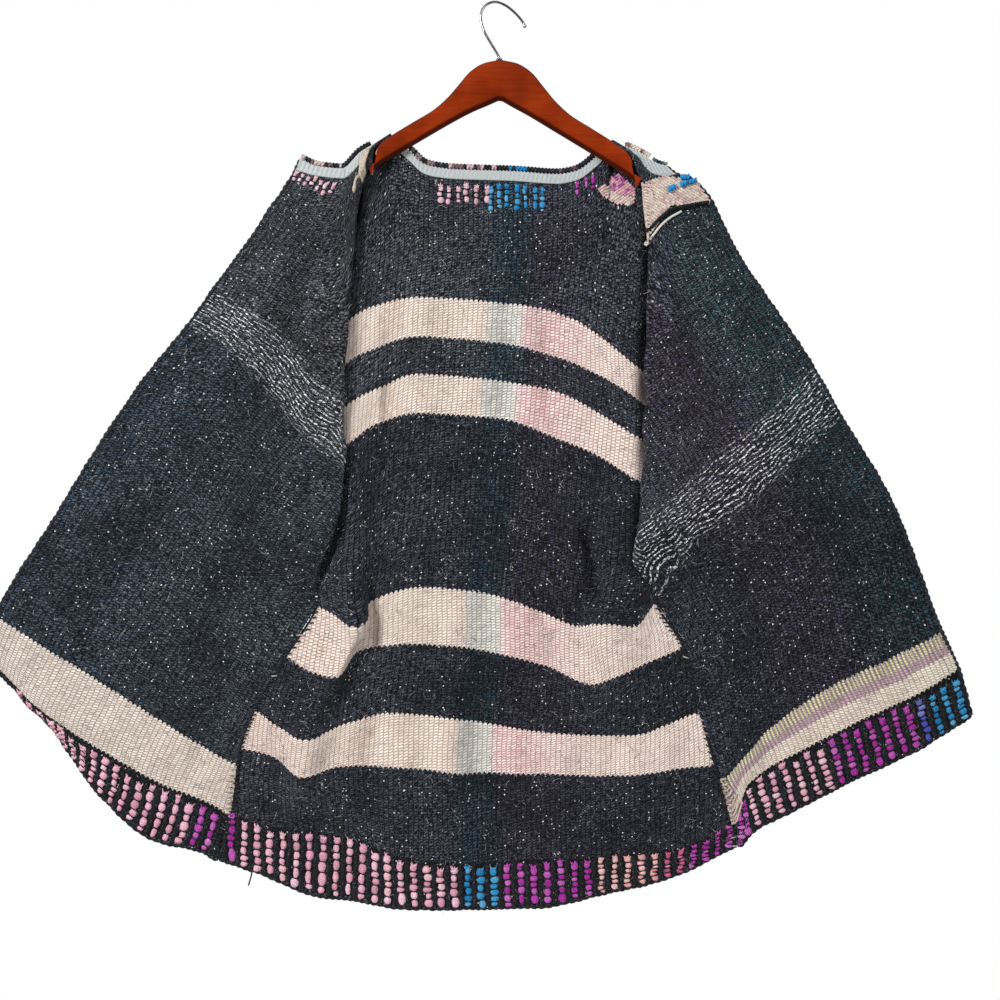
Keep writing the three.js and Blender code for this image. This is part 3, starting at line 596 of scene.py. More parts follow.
# %% [markdown]
# ## Folds
# Heavy cloth hangs in a few soft folds. On the real wrap they start where it is held, at the arms
# of the hanger, and at the tops of the side seams. Each fold here is a soft ridge (+) or trough (-)
# along a given line, with a length, a width and a height of its own. Small slow waves of
# a millimetre or two stand for the uneven beat of a hand loom.

# %% Fold tables: points x and z as seen, width and height in millimetres
BACK_FOLDS = [
    dict(line=[(-152, -415), (-154, -653)], width=9, height=-4.0),
    dict(line=[(-163, -500), (-161, -610)], width=6, height=3.2),
    dict(line=[(12, -405), (14, -590)], width=13, height=-3.5),
    dict(line=[(68, -420), (76, -590)], width=11, height=-3.2),
    dict(line=[(42, -400), (44, -620)], width=14, height=2.9),
    dict(line=[(-105, -380), (-100, -620)], width=22, height=4.0),
    dict(line=[(-22, -780), (-20, -1000), (-30, -1180)], width=24, height=-8.0),
    dict(line=[(60, -830), (92, -950)], width=15, height=-6.4),
    dict(line=[(118, -730), (131, -770), (142, -862)], width=8, height=-14.4),
    dict(line=[(150, -700), (185, -780), (210, -850)], width=24, height=9.6),
    dict(line=[(112, -700), (105, -850)], width=16, height=6.4),
    dict(line=[(-217, -760), (-200, -850), (-188, -905)], width=16, height=9.6),
    dict(line=[(-176, -800), (-168, -925)], width=9, height=-9.6),
    dict(line=[(-262, -1000), (-278, -1180)], width=19, height=8.0),
    dict(line=[(-300, -1040), (-318, -1190)], width=14, height=-5.6),
    dict(line=[(-164, -960), (-178, -1190)], width=18, height=-6.4),
    dict(line=[(-60, -900), (-66, -1110)], width=22, height=8.0),
    dict(line=[(8, -940), (2, -1200)], width=15, height=-5.6),
    dict(line=[(88, -1010), (108, -1240)], width=24, height=7.2),
    dict(line=[(160, -1000), (178, -1240)], width=16, height=-6.4),
    dict(line=[(225, -960), (262, -1190)], width=20, height=5.6),
]
LEFT_FOLDS = [
    dict(line=[(-262, -290), (-330, -430), (-420, -560)], width=22, height=6.4),
    dict(line=[(-235, -330), (-285, -450), (-330, -560)], width=14, height=-6.4),
    dict(line=[(-300, -610), (-380, -740), (-450, -900)], width=30, height=8.0),
    dict(line=[(-430, -640), (-520, -800), (-590, -960)], width=24, height=-7.2),
    dict(line=[(-540, -700), (-640, -880)], width=20, height=6.4),
    dict(line=[(-256, -640), (-262, -760)], width=10, height=-6.4),
    dict(line=[(-350, -900), (-430, -1080)], width=18, height=-5.6),
]
RIGHT_FOLDS = [
    dict(line=[(262, -300), (330, -450), (400, -600)], width=22, height=7.2),
    dict(line=[(236, -330), (270, -430), (300, -560)], width=13, height=-7.2),
    dict(line=[(290, -600), (380, -760), (450, -930)], width=30, height=8.0),
    dict(line=[(400, -560), (500, -760), (560, -920)], width=22, height=-7.2),
    dict(line=[(500, -660), (590, -860)], width=20, height=5.6),
    dict(line=[(240, -700), (262, -800)], width=11, height=-6.4),
    dict(line=[(340, -900), (390, -1080)], width=17, height=-5.6),
]
FADE = dict(part=0.2, least=0.15)
SLOW_WAVES = [
    dict(length=150, turn=0.3, start=0.4, height=1.4),
    dict(length=95, turn=1.2, start=2.1, height=1.1),
    dict(length=70, turn=2.0, start=1.0, height=0.8),
    dict(length=52, turn=0.8, start=4.4, height=0.6),
    dict(length=38, turn=2.6, start=5.2, height=0.5),
]


def fold_heights(seen_points, folds):
    """How far each point rises along the folds. A fold fades out over its last fifth at both ends."""
    rise = np.zeros(seen_points.shape[:-1])
    for fold in folds:
        line = np.array(fold["line"], float)
        lengths = np.linalg.norm(np.diff(line, axis=0), axis=1)
        nearest = np.full(rise.shape, 1e9)
        along = np.zeros(rise.shape)
        for i, length in enumerate(lengths):
            start, step = line[i], line[i + 1] - line[i]
            t = ((seen_points - start) @ step) / length ** 2
            apart = np.linalg.norm(seen_points - start - np.clip(t, 0, 1)[..., None] * step, axis=-1)
            closer = apart < nearest
            nearest = np.where(closer, apart, nearest)
            along = np.where(closer, (lengths[:i].sum() + np.clip(t, 0, 1) * length) / lengths.sum(), along)
        fade = np.clip(np.minimum(along, 1 - along) / FADE["part"], 0, 1)
        fade = FADE["least"] + (1 - FADE["least"]) * fade * fade * (3 - 2 * fade)
        rise += fold["height"] * fade * np.exp(-(nearest / fold["width"]) ** 2)
    return rise


def slow_waves(seen_points):
    x, z = seen_points[..., 0], seen_points[..., 1]
    rise = np.zeros(x.shape)
    for wave in SLOW_WAVES:
        along = x * math.cos(wave["turn"]) + z * math.sin(wave["turn"])
        rise += wave["height"] * np.sin(2 * np.pi * along / wave["length"] + wave["start"])
    return rise


# %% [markdown]
# ## A panel
# A panel keeps its points, the direction that faces into the open wrap at each point, and two
# real lengths: `weft`, how far a point lies along its weft line, and `warp`, how far down the
# warps it lies. The weave, stripes and borders are all drawn by these lengths, so a stripe stays
# on its weft line in every fold.

# %% Panels
FREE_DOWN = dict(start=0.05, over=0.15)
FREE_ACROSS = dict(past=0.02, over=0.06)


def lengths_along(points, axis):
    steps = np.linalg.norm(np.diff(points, axis=axis), axis=-1)
    start = np.zeros_like(np.take(steps, [0], axis))
    return np.concatenate([start, np.cumsum(steps, axis)], axis)


def grid_normals(points):
    """Unit directions square to a grid of points, on the side of the open wrap (towards -Y)."""
    normal = np.cross(np.gradient(points, axis=0), np.gradient(points, axis=1))
    normal /= np.maximum(np.linalg.norm(normal, axis=-1, keepdims=True), 1e-9)
    return normal if normal[..., 1].mean() < 0 else -normal


class Panel:
    def __init__(self, name, across, down, points, folds, start):
        """start is the share of across from which weft lengths are counted. The folds fade towards the
        shoulder and both edges, where the cloth is held."""
        self.name, self.across, self.down = name, across, down
        from_top = (down - FREE_DOWN["start"]) / FREE_DOWN["over"]
        from_edge = (np.minimum(across, 1 - across) + FREE_ACROSS["past"]) / FREE_ACROSS["over"]
        free = np.clip(np.minimum(from_top[None, :], from_edge[:, None]), 0, 1)
        seen_points = as_seen(points)
        rise = (fold_heights(seen_points, folds) + slow_waves(seen_points)) * free
        self.points = points + grid_normals(points) * rise[..., None]
        self.normals = grid_normals(self.points)
        weft = lengths_along(points, 0)
        first = np.argmin(abs(across - start))
        self.weft = weft - weft[first]
        middle = np.argmin(abs(across - 0.5))
        self.warp = lengths_along(points, 1)[middle]

    def warp_at(self, down):
        return np.interp(down, self.down, self.warp)

    def down_at(self, warp):
        return np.interp(warp, self.warp, self.down)

    def lookup(self, grid, across, down):
        """The value of a grid (across × down × anything) at places between its points."""
        i = np.clip(np.interp(across, self.across, np.arange(len(self.across))), 0, len(self.across) - 1.001)
        j = np.clip(np.interp(down, self.down, np.arange(len(self.down))), 0, len(self.down) - 1.001)
        i0, j0 = i.astype(int), j.astype(int)
        s, t = i - i0, j - j0
        if grid.ndim == 3:
            s, t = s[..., None], t[..., None]
        return (grid[i0, j0] * (1 - s) * (1 - t) + grid[i0 + 1, j0] * s * (1 - t)
                + grid[i0, j0 + 1] * (1 - s) * t + grid[i0 + 1, j0 + 1] * s * t)

    def across_at(self, weft, down):
        """The share of across that lies weft millimetres along the weft line at each down."""
        found = []
        for w, d in np.broadcast(weft, down):
            line = self.lookup(self.weft, self.across, np.full(len(self.across), d))
            found.append(np.interp(w, line, self.across))
        return np.array(found)

    def frame_at(self, across, down):
        """Point and inner direction at each place."""
        normal = self.lookup(self.normals, across, down)
        normal /= np.linalg.norm(normal, axis=-1, keepdims=True)
        return self.lookup(self.points, across, down), normal


def rows_between(marks, step):
    """Even steps between the marks, the marks included."""
    parts = [np.linspace(a, b, max(2, int(round((b - a) / step)) + 1))[:-1] for a, b in zip(marks, marks[1:])]
    return np.concatenate([*parts, [marks[-1]]])


BACK_STEPS = 150
FRONT_STEPS = 90
ROW_STEP = 0.0095
back_across = np.linspace(0, 1, BACK_STEPS + 1)
back_down = rows_between([*BACK_ROWS_OVER, 0.19, 1, 2], ROW_STEP)
front_across = np.concatenate([np.linspace(0, LIP_ACROSS, FRONT_STEPS), [0.965, 0.98, 0.99, 1]])
front_down = rows_between([0, 0.04, ARM_TIP_DOWN, ARMHOLE_TOP, 1, 2], ROW_STEP)

back = Panel("back", back_across, back_down, back_surface(back_across, back_down), BACK_FOLDS, 0.5)
left = Panel("left", front_across, front_down,
             front_surface("left", LEFT_LINES, front_across, front_down), LEFT_FOLDS, 0)
right = Panel("right", front_across, front_down,
              front_surface("right", RIGHT_LINES, front_across, front_down), RIGHT_FOLDS, 0)
for panel in (back, left, right):
    print(panel.name, "warp length", round(panel.warp[-1]), "mm, weft", round(panel.weft.min()), "to",
          round(panel.weft.max()), "mm at its widest")

# %% [markdown]
# ## Handwoven wool
# Real cloth: thick hand-spun weft yarns, beaten down so hard that the warps hide between them. What
# shows is row on row of short slanted stitches, each about 7 mm wide and 4 mm tall, like grains of
# rice, in columns that step by half a stitch. A brick pattern lying on its side gives exactly that:
# its bricks are the stitches, its joints the dark gaps, and its brick colour is a random number for
# each stitch that varies the yarn. All scales are real millimetres, from the map named weave. The
# brick node limits how wide a joint may be, so it alone counts in centimetres.

# %% Places along the threads, and stitches
WOBBLE = dict(size=45, weft=2.4, warp=2.2)
STITCH = dict(wide=7.0, tall=4.0, gap=0.8, slant=0.42, soft=0.75)
CM = 0.1
FIBRE_SIZE = 1.3
SCALLOP = 3.6
BAND_FADE = 8


class Weave:
    """One panel's cloth as nodes: how far a point lies along the wefts (u) and down the warps (v) in mm,
    wandering as hand weaving does, and the stitch that it is in."""

    def __init__(self, panel):
        self.panel = panel
        self.material, self.tree = surface(f"handwoven_wool_{panel.name}")
        self.where = self.add("UVMap", uv_map="weave")
        wander = self.add("TexNoise", self.where, None, 1 / WOBBLE["size"], 4, 0.62, out="Color")
        wander = self.add("VectorMath", wander, (0.5, 0.5, 0.5), operation="SUBTRACT")
        reach = (2 * WOBBLE["weft"], 2 * WOBBLE["warp"], 0)
        wander = self.add("VectorMath", wander, reach, operation="MULTIPLY")
        self.u = self.add("SeparateXYZ", self.add("VectorMath", self.where, wander))
        self.v = self.u.node.outputs["Y"]
        slanted = self.add("Math", self.u, STITCH["slant"], self.v, operation="MULTIPLY_ADD")
        self.lying = self.add("CombineXYZ", slanted, self.u)
        self.stitch = self.add("TexBrick", self.lying, "#000000", "#ffffff", "#000000", CM,
                               STITCH["gap"] * CM, STITCH["soft"], 0.0, STITCH["tall"] * CM,
                               STITCH["wide"] * CM, offset=0.5)
        self.gap = self.stitch.node.outputs["Fac"]
        self.fibre = self.add("TexNoise", self.where, None, 1 / FIBRE_SIZE, 3, 0.6)
        # where two colours meet, each column of stitches ends in a small round step
        wave = self.add("Math", self.u, math.pi / STITCH["wide"], operation="MULTIPLY")
        wave = self.add("Math", self.add("Math", wave, operation="SINE"), operation="ABSOLUTE")
        self.stepped = self.add("Math", wave, SCALLOP, self.v, operation="MULTIPLY_ADD")

    def add(self, kind, *inputs, **settings):
        return add(self.tree, kind, *inputs, **settings)

    def band(self, *bands, soft=False):
        """1 inside the bands, each a pair of places down the panel, with stepped edges or soft ones."""
        whole = float(self.panel.warp[-1])
        stops = [(0, "#000000")]
        for low, high in (map(float, self.panel.warp_at(band[:2])) for band in bands):
            if soft:
                stops += [(max(low - BAND_FADE, 0), "#000000"), (low + BAND_FADE, "#ffffff"),
                          (high - BAND_FADE, "#ffffff"), (high + BAND_FADE, "#000000")]
            else:
                stops += [(low, "#ffffff"), (high, "#000000")]
        made = self.add("ValToRGB", self.add("Math", self.stepped, whole, operation="DIVIDE"),
                        ramp=[(place / whole, code) for place, code in stops])
        made.node.color_ramp.interpolation = "LINEAR" if soft else "CONSTANT"
        return made

    def across(self, colours):
        """A ramp of colours along the wefts, from a list of (mm of weft, hex)."""
        low, high = float(self.panel.weft.min()), float(self.panel.weft.max())
        return self.add("ValToRGB", self.add("MapRange", self.u, low, high, 0.0, 1.0),
                        ramp=[((place - low) / (high - low), code) for place, code in colours])

    def partly(self, where, part, colour, other):
        """colour, with so large a part of other over it where where is 1."""
        return self.add("MixRGB", self.add("Math", where, part, operation="MULTIPLY"), colour, other)


# %% [markdown]
# ### Dark yarn
# The ground is charcoal wool carded with some lighter wool, so each stitch has a tone of its own and
# pale strands run along it. Hairs curl over it, which the edges of a warped Voronoi pattern draw as
# a fine net. Slow clouds are the dye bath's unevenness.

# %% Dark yarn
TONE = dict(power=2.2, share=0.5, fibres=(0.35, 0.75, 0.1, 1.7))
STRAND = dict(stretch=(1.5, 0.42, 1), size=2.4, range=(0.54, 0.64, 0.0, 0.72))
HAIR = dict(curl_size=5, curl=(5, 5, 0), apart=6.5, thick=0.07, share=0.6, fibres=(0.4, 0.65, 0.0, 1.0),
            colour="#a9adb3")
CLOUD = dict(size=110, range=(0.42, 0.62, 0.0, 0.42), colour="#0b0c10")
BORDER_DYE = dict(share=0.8, colour="#08080b")


def dark_yarn(weave, ground, lights, tints, border):
    """ground and lights are ramps along the wefts, tints a list of (from, to, hex) down the panel."""
    node, fibre, paler = weave.add, weave.fibre, weave.across(lights)
    tone = node("Math", node("Math", weave.stitch, TONE["power"], operation="POWER"), TONE["share"],
                operation="MULTIPLY")
    tone = node("Math", tone, node("MapRange", fibre, *TONE["fibres"]), operation="MULTIPLY")
    dark = node("MixRGB", tone, weave.across(ground), paler)
    strand = node("VectorMath", weave.lying, STRAND["stretch"], operation="MULTIPLY")
    strand = node("TexNoise", strand, None, 1 / STRAND["size"], 2, 0.55)
    dark = node("MixRGB", node("MapRange", strand, *STRAND["range"]), dark, paler)
    curl = node("TexNoise", weave.where, None, 1 / HAIR["curl_size"], 2, 0.5, out="Color")
    curl = node("VectorMath", curl, HAIR["curl"], weave.where, operation="MULTIPLY_ADD")
    hair = node("TexVoronoi", curl, None, 1 / HAIR["apart"], feature="DISTANCE_TO_EDGE")
    hair = node("MapRange", hair, 0.0, HAIR["thick"], HAIR["share"], 0.0)
    hair = node("Math", hair, node("MapRange", fibre, *HAIR["fibres"]), operation="MULTIPLY")
    dark = node("MixRGB", hair, dark, HAIR["colour"])
    for low, high, code in tints:
        tinted = node("MixRGB", 1.0, dark, code, blend_type="MULTIPLY")
        dark = node("MixRGB", weave.band((low, high), soft=True), dark, tinted)
    cloud = node("TexNoise", weave.where, None, 1 / CLOUD["size"], 2, 0.5)
    dark = node("MixRGB", node("MapRange", cloud, *CLOUD["range"]), dark, CLOUD["colour"])
    return weave.partly(weave.band(border), BORDER_DYE["share"], dark, BORDER_DYE["colour"])


# %% [markdown]
# ### Noils and heather
# Noils are the small white knots that carding leaves in wool. The heather bands are a few wefts of
# white yarn that the warps over them break into dashes.

# %% White flecks
NOIL = dict(apart=7.5, radius=0.14, some=0.75, share=0.9, colour="#e2dfdd")
HEATHER = dict(apart=6.8, wide=2.3, size=45, wander=30.0, squeeze=(1, 2.6, 1), dash=7.5,
               range=(0.48, 0.54, 0.0, 1.0), colour="#e4e3e2")


def with_noils(weave, dark):
    cell = weave.add("TexVoronoi", weave.add("CombineXYZ", weave.u, weave.v), None, 1 / NOIL["apart"])
    near = weave.add("Math", cell, NOIL["radius"], operation="LESS_THAN")
    chosen = weave.add("SeparateXYZ", cell.node.outputs["Color"])
    chosen = weave.add("Math", chosen, NOIL["some"], operation="LESS_THAN")
    noil = weave.add("Math", near, chosen, operation="MULTIPLY")
    return weave.partly(noil, NOIL["share"], dark, NOIL["colour"])


def with_heather(weave, dark, band):
    node = weave.add
    row = node("TexNoise", weave.where, None, 1 / HEATHER["size"], 2, 0.5)
    row = node("Math", row, HEATHER["wander"], weave.v, operation="MULTIPLY_ADD")
    row = node("Math", row, HEATHER["apart"], operation="FLOORED_MODULO")
    row = node("Math", row, HEATHER["wide"], operation="LESS_THAN")
    dash = node("VectorMath", weave.where, HEATHER["squeeze"], operation="MULTIPLY")
    dash = node("TexNoise", dash, None, 1 / HEATHER["dash"], 2, 0.6)
    dash = node("MapRange", dash, *HEATHER["range"])
    dashes = node("Math", row, dash, operation="MULTIPLY")
    dashes = node("Math", dashes, weave.band(band, soft=True), operation="MULTIPLY")
    return node("MixRGB", dashes, dark, HEATHER["colour"])


# %% [markdown]
# ### Pale yarn
# The stripes are undyed oatmeal wool, lighter in some stitches, with brown flecks that are painted
# small shadows between the grains. In two narrow bands of the right front the warps show as ribs,
# where the weft was packed less.

# %% Pale yarn
PALE_TONE = dict(share=0.6, colour="#fbf4ec")
BROWN_FLECK_SHADE = dict(range=(0.47, 0.7, 0.0, 0.6), colour="#96826f")
RIB = dict(apart=6.0, range=(-0.4, 0.5, 0.0, 1.0), hollow="#97858a")


def pale_yarn(weave, pale, ribs):
    """pale is a ramp along the wefts, ribs a list of (from, to, hex) down the panel."""
    node = weave.add
    light = weave.partly(weave.stitch, PALE_TONE["share"], weave.across(pale), PALE_TONE["colour"])
    # painted shade: brown flecks where the fibre noise is high, standing for small shadows between the grains
    light = node("MixRGB", node("MapRange", weave.fibre, *BROWN_FLECK_SHADE["range"]), light, BROWN_FLECK_SHADE["colour"])
    for low, high, code in ribs:
        wave = node("Math", weave.u, 2 * math.pi / RIB["apart"], operation="MULTIPLY")
        wave = node("MapRange", node("Math", wave, operation="SINE"), *RIB["range"])
        # painted shade: the dips between the ribs take the darker hollow colour, as the ribs have no relief
        # of their own
        shaded_rib = node("MixRGB", wave, RIB["hollow"], code)
        light = node("MixRGB", weave.band((low, high)), light, shaded_rib)
    return light


# %% [markdown]
# ### The cloth
# Dark and pale yarn meet at the stripes, and the gaps between stitches are darker in both, which is
# painted shade between the stitches. The stitches stand out as relief, with fibres on them. Wool is
# matt: it scatters light in its fibres, so its roughness is high, its gloss low, and a little sheen
# lights it at a grazing angle.

# %% Cloth
GAP_SHADE = dict(in_dark=0.8, dark="#040406", in_pale=0.55, pale="#84705f")
WOOL = dict(Roughness=0.92, Specular_IOR_Level=0.15, Sheen_Weight=0.03)
RELIEF = dict(strength=0.85, tall=1.3, fibres=0.5)


def handwoven_wool(panel, ground, lights, pale, stripes, border, tints, heather=None, ribs=()):
    """Bands, stripes and borders are places down the panel, colour ramps are (mm of weft, hex)."""
    weave = Weave(panel)
    dark = with_noils(weave, dark_yarn(weave, ground, lights, tints, border))
    if heather:
        dark = with_heather(weave, dark, heather)
    light = pale_yarn(weave, pale, ribs)
    # painted shade: the gaps between stitches are darkened in the dark and the pale yarn
    dark = weave.partly(weave.gap, GAP_SHADE["in_dark"], dark, GAP_SHADE["dark"])
    light = weave.partly(weave.gap, GAP_SHADE["in_pale"], light, GAP_SHADE["pale"])
    high = weave.add("Math", 1.0, weave.gap, operation="SUBTRACT")
    high = weave.add("Math", weave.fibre, RELIEF["fibres"], high, operation="MULTIPLY_ADD")
    relief = dict(Strength=RELIEF["strength"], Distance=RELIEF["tall"] * MM, Height=high)
    bump = weave.add("Bump", named=relief)
    cloth = weave.add("MixRGB", weave.band(*stripes), dark, light)
    finish(weave.material, Base_Color=cloth, Normal=bump, **WOOL)
    print(weave.material.name, len(weave.tree.nodes), "nodes")
    return weave.material


# %% The three panels' wool
wool_back = handwoven_wool(
    back, stripes=[(0.31, 0.41), (0.5, 0.59), (1, 1.19), (1.41, 1.55)], border=(1.8, 2.1),
    tints=[(0.58, 2.2, "#d0ced4")],
    ground=[(-330, "#14151c"), (-120, "#101116"), (-60, "#111218"), (-36, "#101118"), (-18, "#091822"),
            (14, "#091822"), (34, "#100e18"), (120, "#111019"), (190, "#0d0e14"), (330, "#0d0e14")],
    # painted shade: from weft 190 mm to the right edge the lights are darker, where the right front shadows
    # the back
    lights=[(-330, "#808794"), (-60, "#777f8e"), (-36, "#6a7787"), (-18, "#406275"), (14, "#3e6073"),
            (36, "#615d77"), (120, "#65637a"), (190, "#656b7b"), (330, "#5e6474")],
    # painted shade: the darker stop at weft -162 mm stands for the shade along the fold there
    pale=[(-330, "#e3c6bf"), (-190, "#e6d4c8"), (-162, "#cfb6aa"), (-138, "#e6d6ca"), (-100, "#dccabd"),
          (-60, "#eadacd"), (-32, "#e6cfc5"), (-24, "#c3cac6"), (-8, "#b3b5b0"), (14, "#ccd4cc"),
          (28, "#e6bcc0"), (60, "#dcaeb0"), (90, "#e6c3c3"), (150, "#ead2ca"), (330, "#e8d4cb")])
wool_left = handwoven_wool(
    left, stripes=[(1.61, 1.8)], border=(1.8, 2.1), heather=(0.5, 0.6),
    tints=[(-0.1, 0.5, "#fff0e8"), (0.6, 2.2, "#d0dae2")],
    ground=[(0, "#0c121a"), (150, "#0f131c"), (300, "#14161b"), (450, "#15161b")],
    lights=[(0, "#6f8093"), (300, "#7d858d"), (450, "#83878d")],
    pale=[(0, "#c8bcb3"), (200, "#cfc2b8"), (450, "#d8c7bc")])
wool_right = handwoven_wool(
    right, stripes=[(1.6, 1.79)], border=(1.79, 2.1), heather=(0.72, 0.98),
    tints=[(0.85, 2.2, "#d2d3d8")], ribs=[(1.6, 1.655, "#dcd8ac"), (1.655, 1.7, "#c4a3b0")],
    ground=[(0, "#0b131b"), (80, "#0c1219"), (140, "#100e18"), (230, "#0f0e17"), (300, "#0d1017"),
            (420, "#0e111a")],
    lights=[(0, "#426e7c"), (80, "#486c7a"), (140, "#6e5f82"), (230, "#6a607e"), (300, "#626d80"),
            (420, "#70798e")],
    pale=[(0, "#d8d3bd"), (120, "#e0cfc2"), (420, "#e2cfc2")])

# %% [markdown]
# ## Dyed yarn
# The borders, the edges and the sewing are single yarns, thick enough to be modelled. One material
# serves them all: plied wool whose colour is the dye kept with the mesh, darker between its fibres,
# which is painted shade, and paler on the stray ones, which is partly a painted highlight, with a
# fine fibre relief.

# %% The yarn's material
YARN = dict(size=1.6, shaded_hollows=(0.3, 0.62, 0.55, 0.0), strays_and_highlight=(0.6, 0.8, 0.0, 0.4), tall=0.7)

yarn, tree = surface("dyed_plied_wool", Roughness=0.9, Specular_IOR_Level=WOOL["Specular_IOR_Level"],
                     Sheen_Weight=0.06)
strands = add(tree, "TexNoise", add(tree, "TexCoord", out="Object"), None, 1 / (YARN["size"] * MM), 3, 0.65)
# painted shade where the noise is low, between the fibres; the paler stray fibres are partly a painted
# highlight
colour = add(tree, "MixRGB", add(tree, "MapRange", strands, *YARN["shaded_hollows"]),
             add(tree, "Attribute", attribute_name="dye"), "#15151a")
colour = add(tree, "MixRGB", add(tree, "MapRange", strands, *YARN["strays_and_highlight"]), colour, "#ffffff")
bump = add(tree, "Bump", named=dict(Strength=0.8, Distance=YARN["tall"] * MM, Height=strands))
finish(yarn, Base_Color=colour, Normal=bump)

# %% [markdown]
# ## Twill tape
# The neck edge is faced with cotton twill tape about 13 mm wide. Twill shows as fine diagonal
# ridges, too fine for the picture at 0.6 mm, so they are drawn at 1.5 mm.

# %% The tape's material
TWILL = dict(apart=1.5, turn=38, share=0.22, valley_shade="#8a9190")
TAPE_PATCH = dict(size=9, colours=("#a3a9a8", "#b4b9b8"), relief=2.0)
WAVES_PER_UNIT = 20 / (2 * math.pi)

tape_cloth, tree = surface("cotton_twill_tape", Roughness=0.8)
place = add(tree, "TexCoord", out="Object")
diagonal = add(tree, "TexWave", add(tree, "Mapping", place, None, (0, math.radians(TWILL["turn"]), 0)),
               1 / (TWILL["apart"] * MM) / WAVES_PER_UNIT, 1.5, 2, wave_type="BANDS", bands_direction="X")
patches = add(tree, "TexNoise", place, None, 1 / (TAPE_PATCH["size"] * MM), 2, 0.6)
colour = add(tree, "MixRGB", patches, *TAPE_PATCH["colours"])
# painted shade: the twill's valleys are darker than its ridges
colour = add(tree, "MixRGB", add(tree, "Math", diagonal, TWILL["share"], operation="MULTIPLY"), colour,
             TWILL["valley_shade"])
relief = add(tree, "Math", patches, TAPE_PATCH["relief"], diagonal, operation="MULTIPLY_ADD")
bump = add(tree, "Bump", named=dict(Strength=0.5, Distance=0.3 * MM, Height=relief))
finish(tape_cloth, Base_Color=colour, Normal=bump)

# %% [markdown]
# ## Lacquered cherry
# The hanger is sawn from one board, so its grain runs straight along it. It is stained cherry red,
# in slow clouds that are partly where the wood drinks more and partly painted shade and highlight
# for the lacquer's uneven gloss. Its routed edges are darker, partly stain gathered there and partly
# painted shade and dark reflection along them. Over it lies sprayed gloss lacquer: a deep colour
# under a sharp highlight, which is what the coat gives.

# %% The hanger's wood
GRAIN = dict(size=2.2, stretch=(0.04, 1, 1), stain=[(0.2, "#6c1d02"), (0.5, "#7e2603"), (0.8, "#8d3004")])
STAIN_AND_SHADE_CLOUD = dict(size=55, darker=(0.3, 0.5, 0.4, 0.0), dark="#450f03", lighter=(0.5, 0.75, 0.0, 0.4),
                   light="#a83b0c")

wood, tree = surface("lacquered_cherry", Roughness=0.38, Specular_IOR_Level=0.05, Coat_Weight=0.6,
                     Coat_Roughness=0.07)
place = add(tree, "TexCoord", out="Object")
grain = add(tree, "TexNoise", add(tree, "Mapping", place, None, None, GRAIN["stretch"]), None,
            1 / (GRAIN["size"] * MM), 4, 0.6, None, None, None, 0.4)
stain = add(tree, "ValToRGB", grain, ramp=GRAIN["stain"])
# partly uneven stain, partly painted shade and highlight: slow clouds of a darker and a lighter stain
cloud = add(tree, "TexNoise", place, None, 1 / (STAIN_AND_SHADE_CLOUD["size"] * MM), 2, 0.5)
for stretch, tint in (("darker", "dark"), ("lighter", "light")):
    share = add(tree, "MapRange", cloud, *STAIN_AND_SHADE_CLOUD[stretch])
    stain = add(tree, "MixRGB", share, stain, STAIN_AND_SHADE_CLOUD[tint])
# the dye attribute darkens the routed edges: partly stain gathered there, partly painted shade and dark
# reflection along them
pooled_stain_and_shade = add(tree, "Attribute", attribute_name="dye")
finish(wood, Base_Color=add(tree, "MixRGB", 1.0, stain, pooled_stain_and_shade, blend_type="MULTIPLY"))

# %% [markdown]
# ## Bright steel
# The hook is drawn steel wire, polished: a metal with a clear reflection, a little rougher where
# the die scratched it.

# %% The hook's steel
steel, tree = surface("bright_drawn_steel", Base_Color="#a9acb0", Metallic=1.0)
drawn = add(tree, "TexNoise", add(tree, "TexCoord", out="Object"), None, 1 / (2 * MM), 2, 0.5)
finish(steel, Roughness=add(tree, "MapRange", drawn, 0.3, 0.7, 0.12, 0.2))

# %% [markdown]
# ## Meshes from rings and sheets
# Everything on the wrap is either a sheet, which is a thin closed shell on a grid of points, or a
# yarn, which is a run of rings along a path. A pile collects the vertices of many of them, with
# their dye, and becomes one object.

# %% Piles, tubes and shells
class Pile:
    def __init__(self):
        self.vertices, self.faces, self.dyes, self.count = [], [], [], 0

    def add_rings(self, rings, code, caps=None):
        """rings is steps × sides × 3, in millimetres. code is one dye, or one a step. Both ends are closed,
        by one face or by those of caps, which are lists of places in a ring."""
        steps, sides = rings.shape[:2]
        first = self.count
        index = first + np.arange(steps * sides).reshape(steps, sides)
        here, there = index[:-1], index[1:]
        quads = np.stack([here, np.roll(here, -1, 1), np.roll(there, -1, 1), there], -1).reshape(-1, 4)
        self.faces += quads.tolist()
        for end in (index[0], index[-1]):
            self.faces += [end[corners].tolist() for corners in (caps or [range(sides)])]
        self.vertices.append(rings.reshape(-1, 3))
        codes = [code] * steps if isinstance(code, str) else code
        self.dyes += [linear(dyed) for dyed in codes for _ in range(sides)]
        self.count += steps * sides

    def make(self, name, material):
        mesh = bpy.data.meshes.new(name)
        mesh.from_pydata((np.concatenate(self.vertices) * MM).tolist(), [], self.faces)
        kept = mesh.color_attributes.new("dye", "FLOAT_COLOR", "POINT")
        kept.data.foreach_set("color", np.array(self.dyes, float).ravel())
        return finish_piece(name, mesh, material)


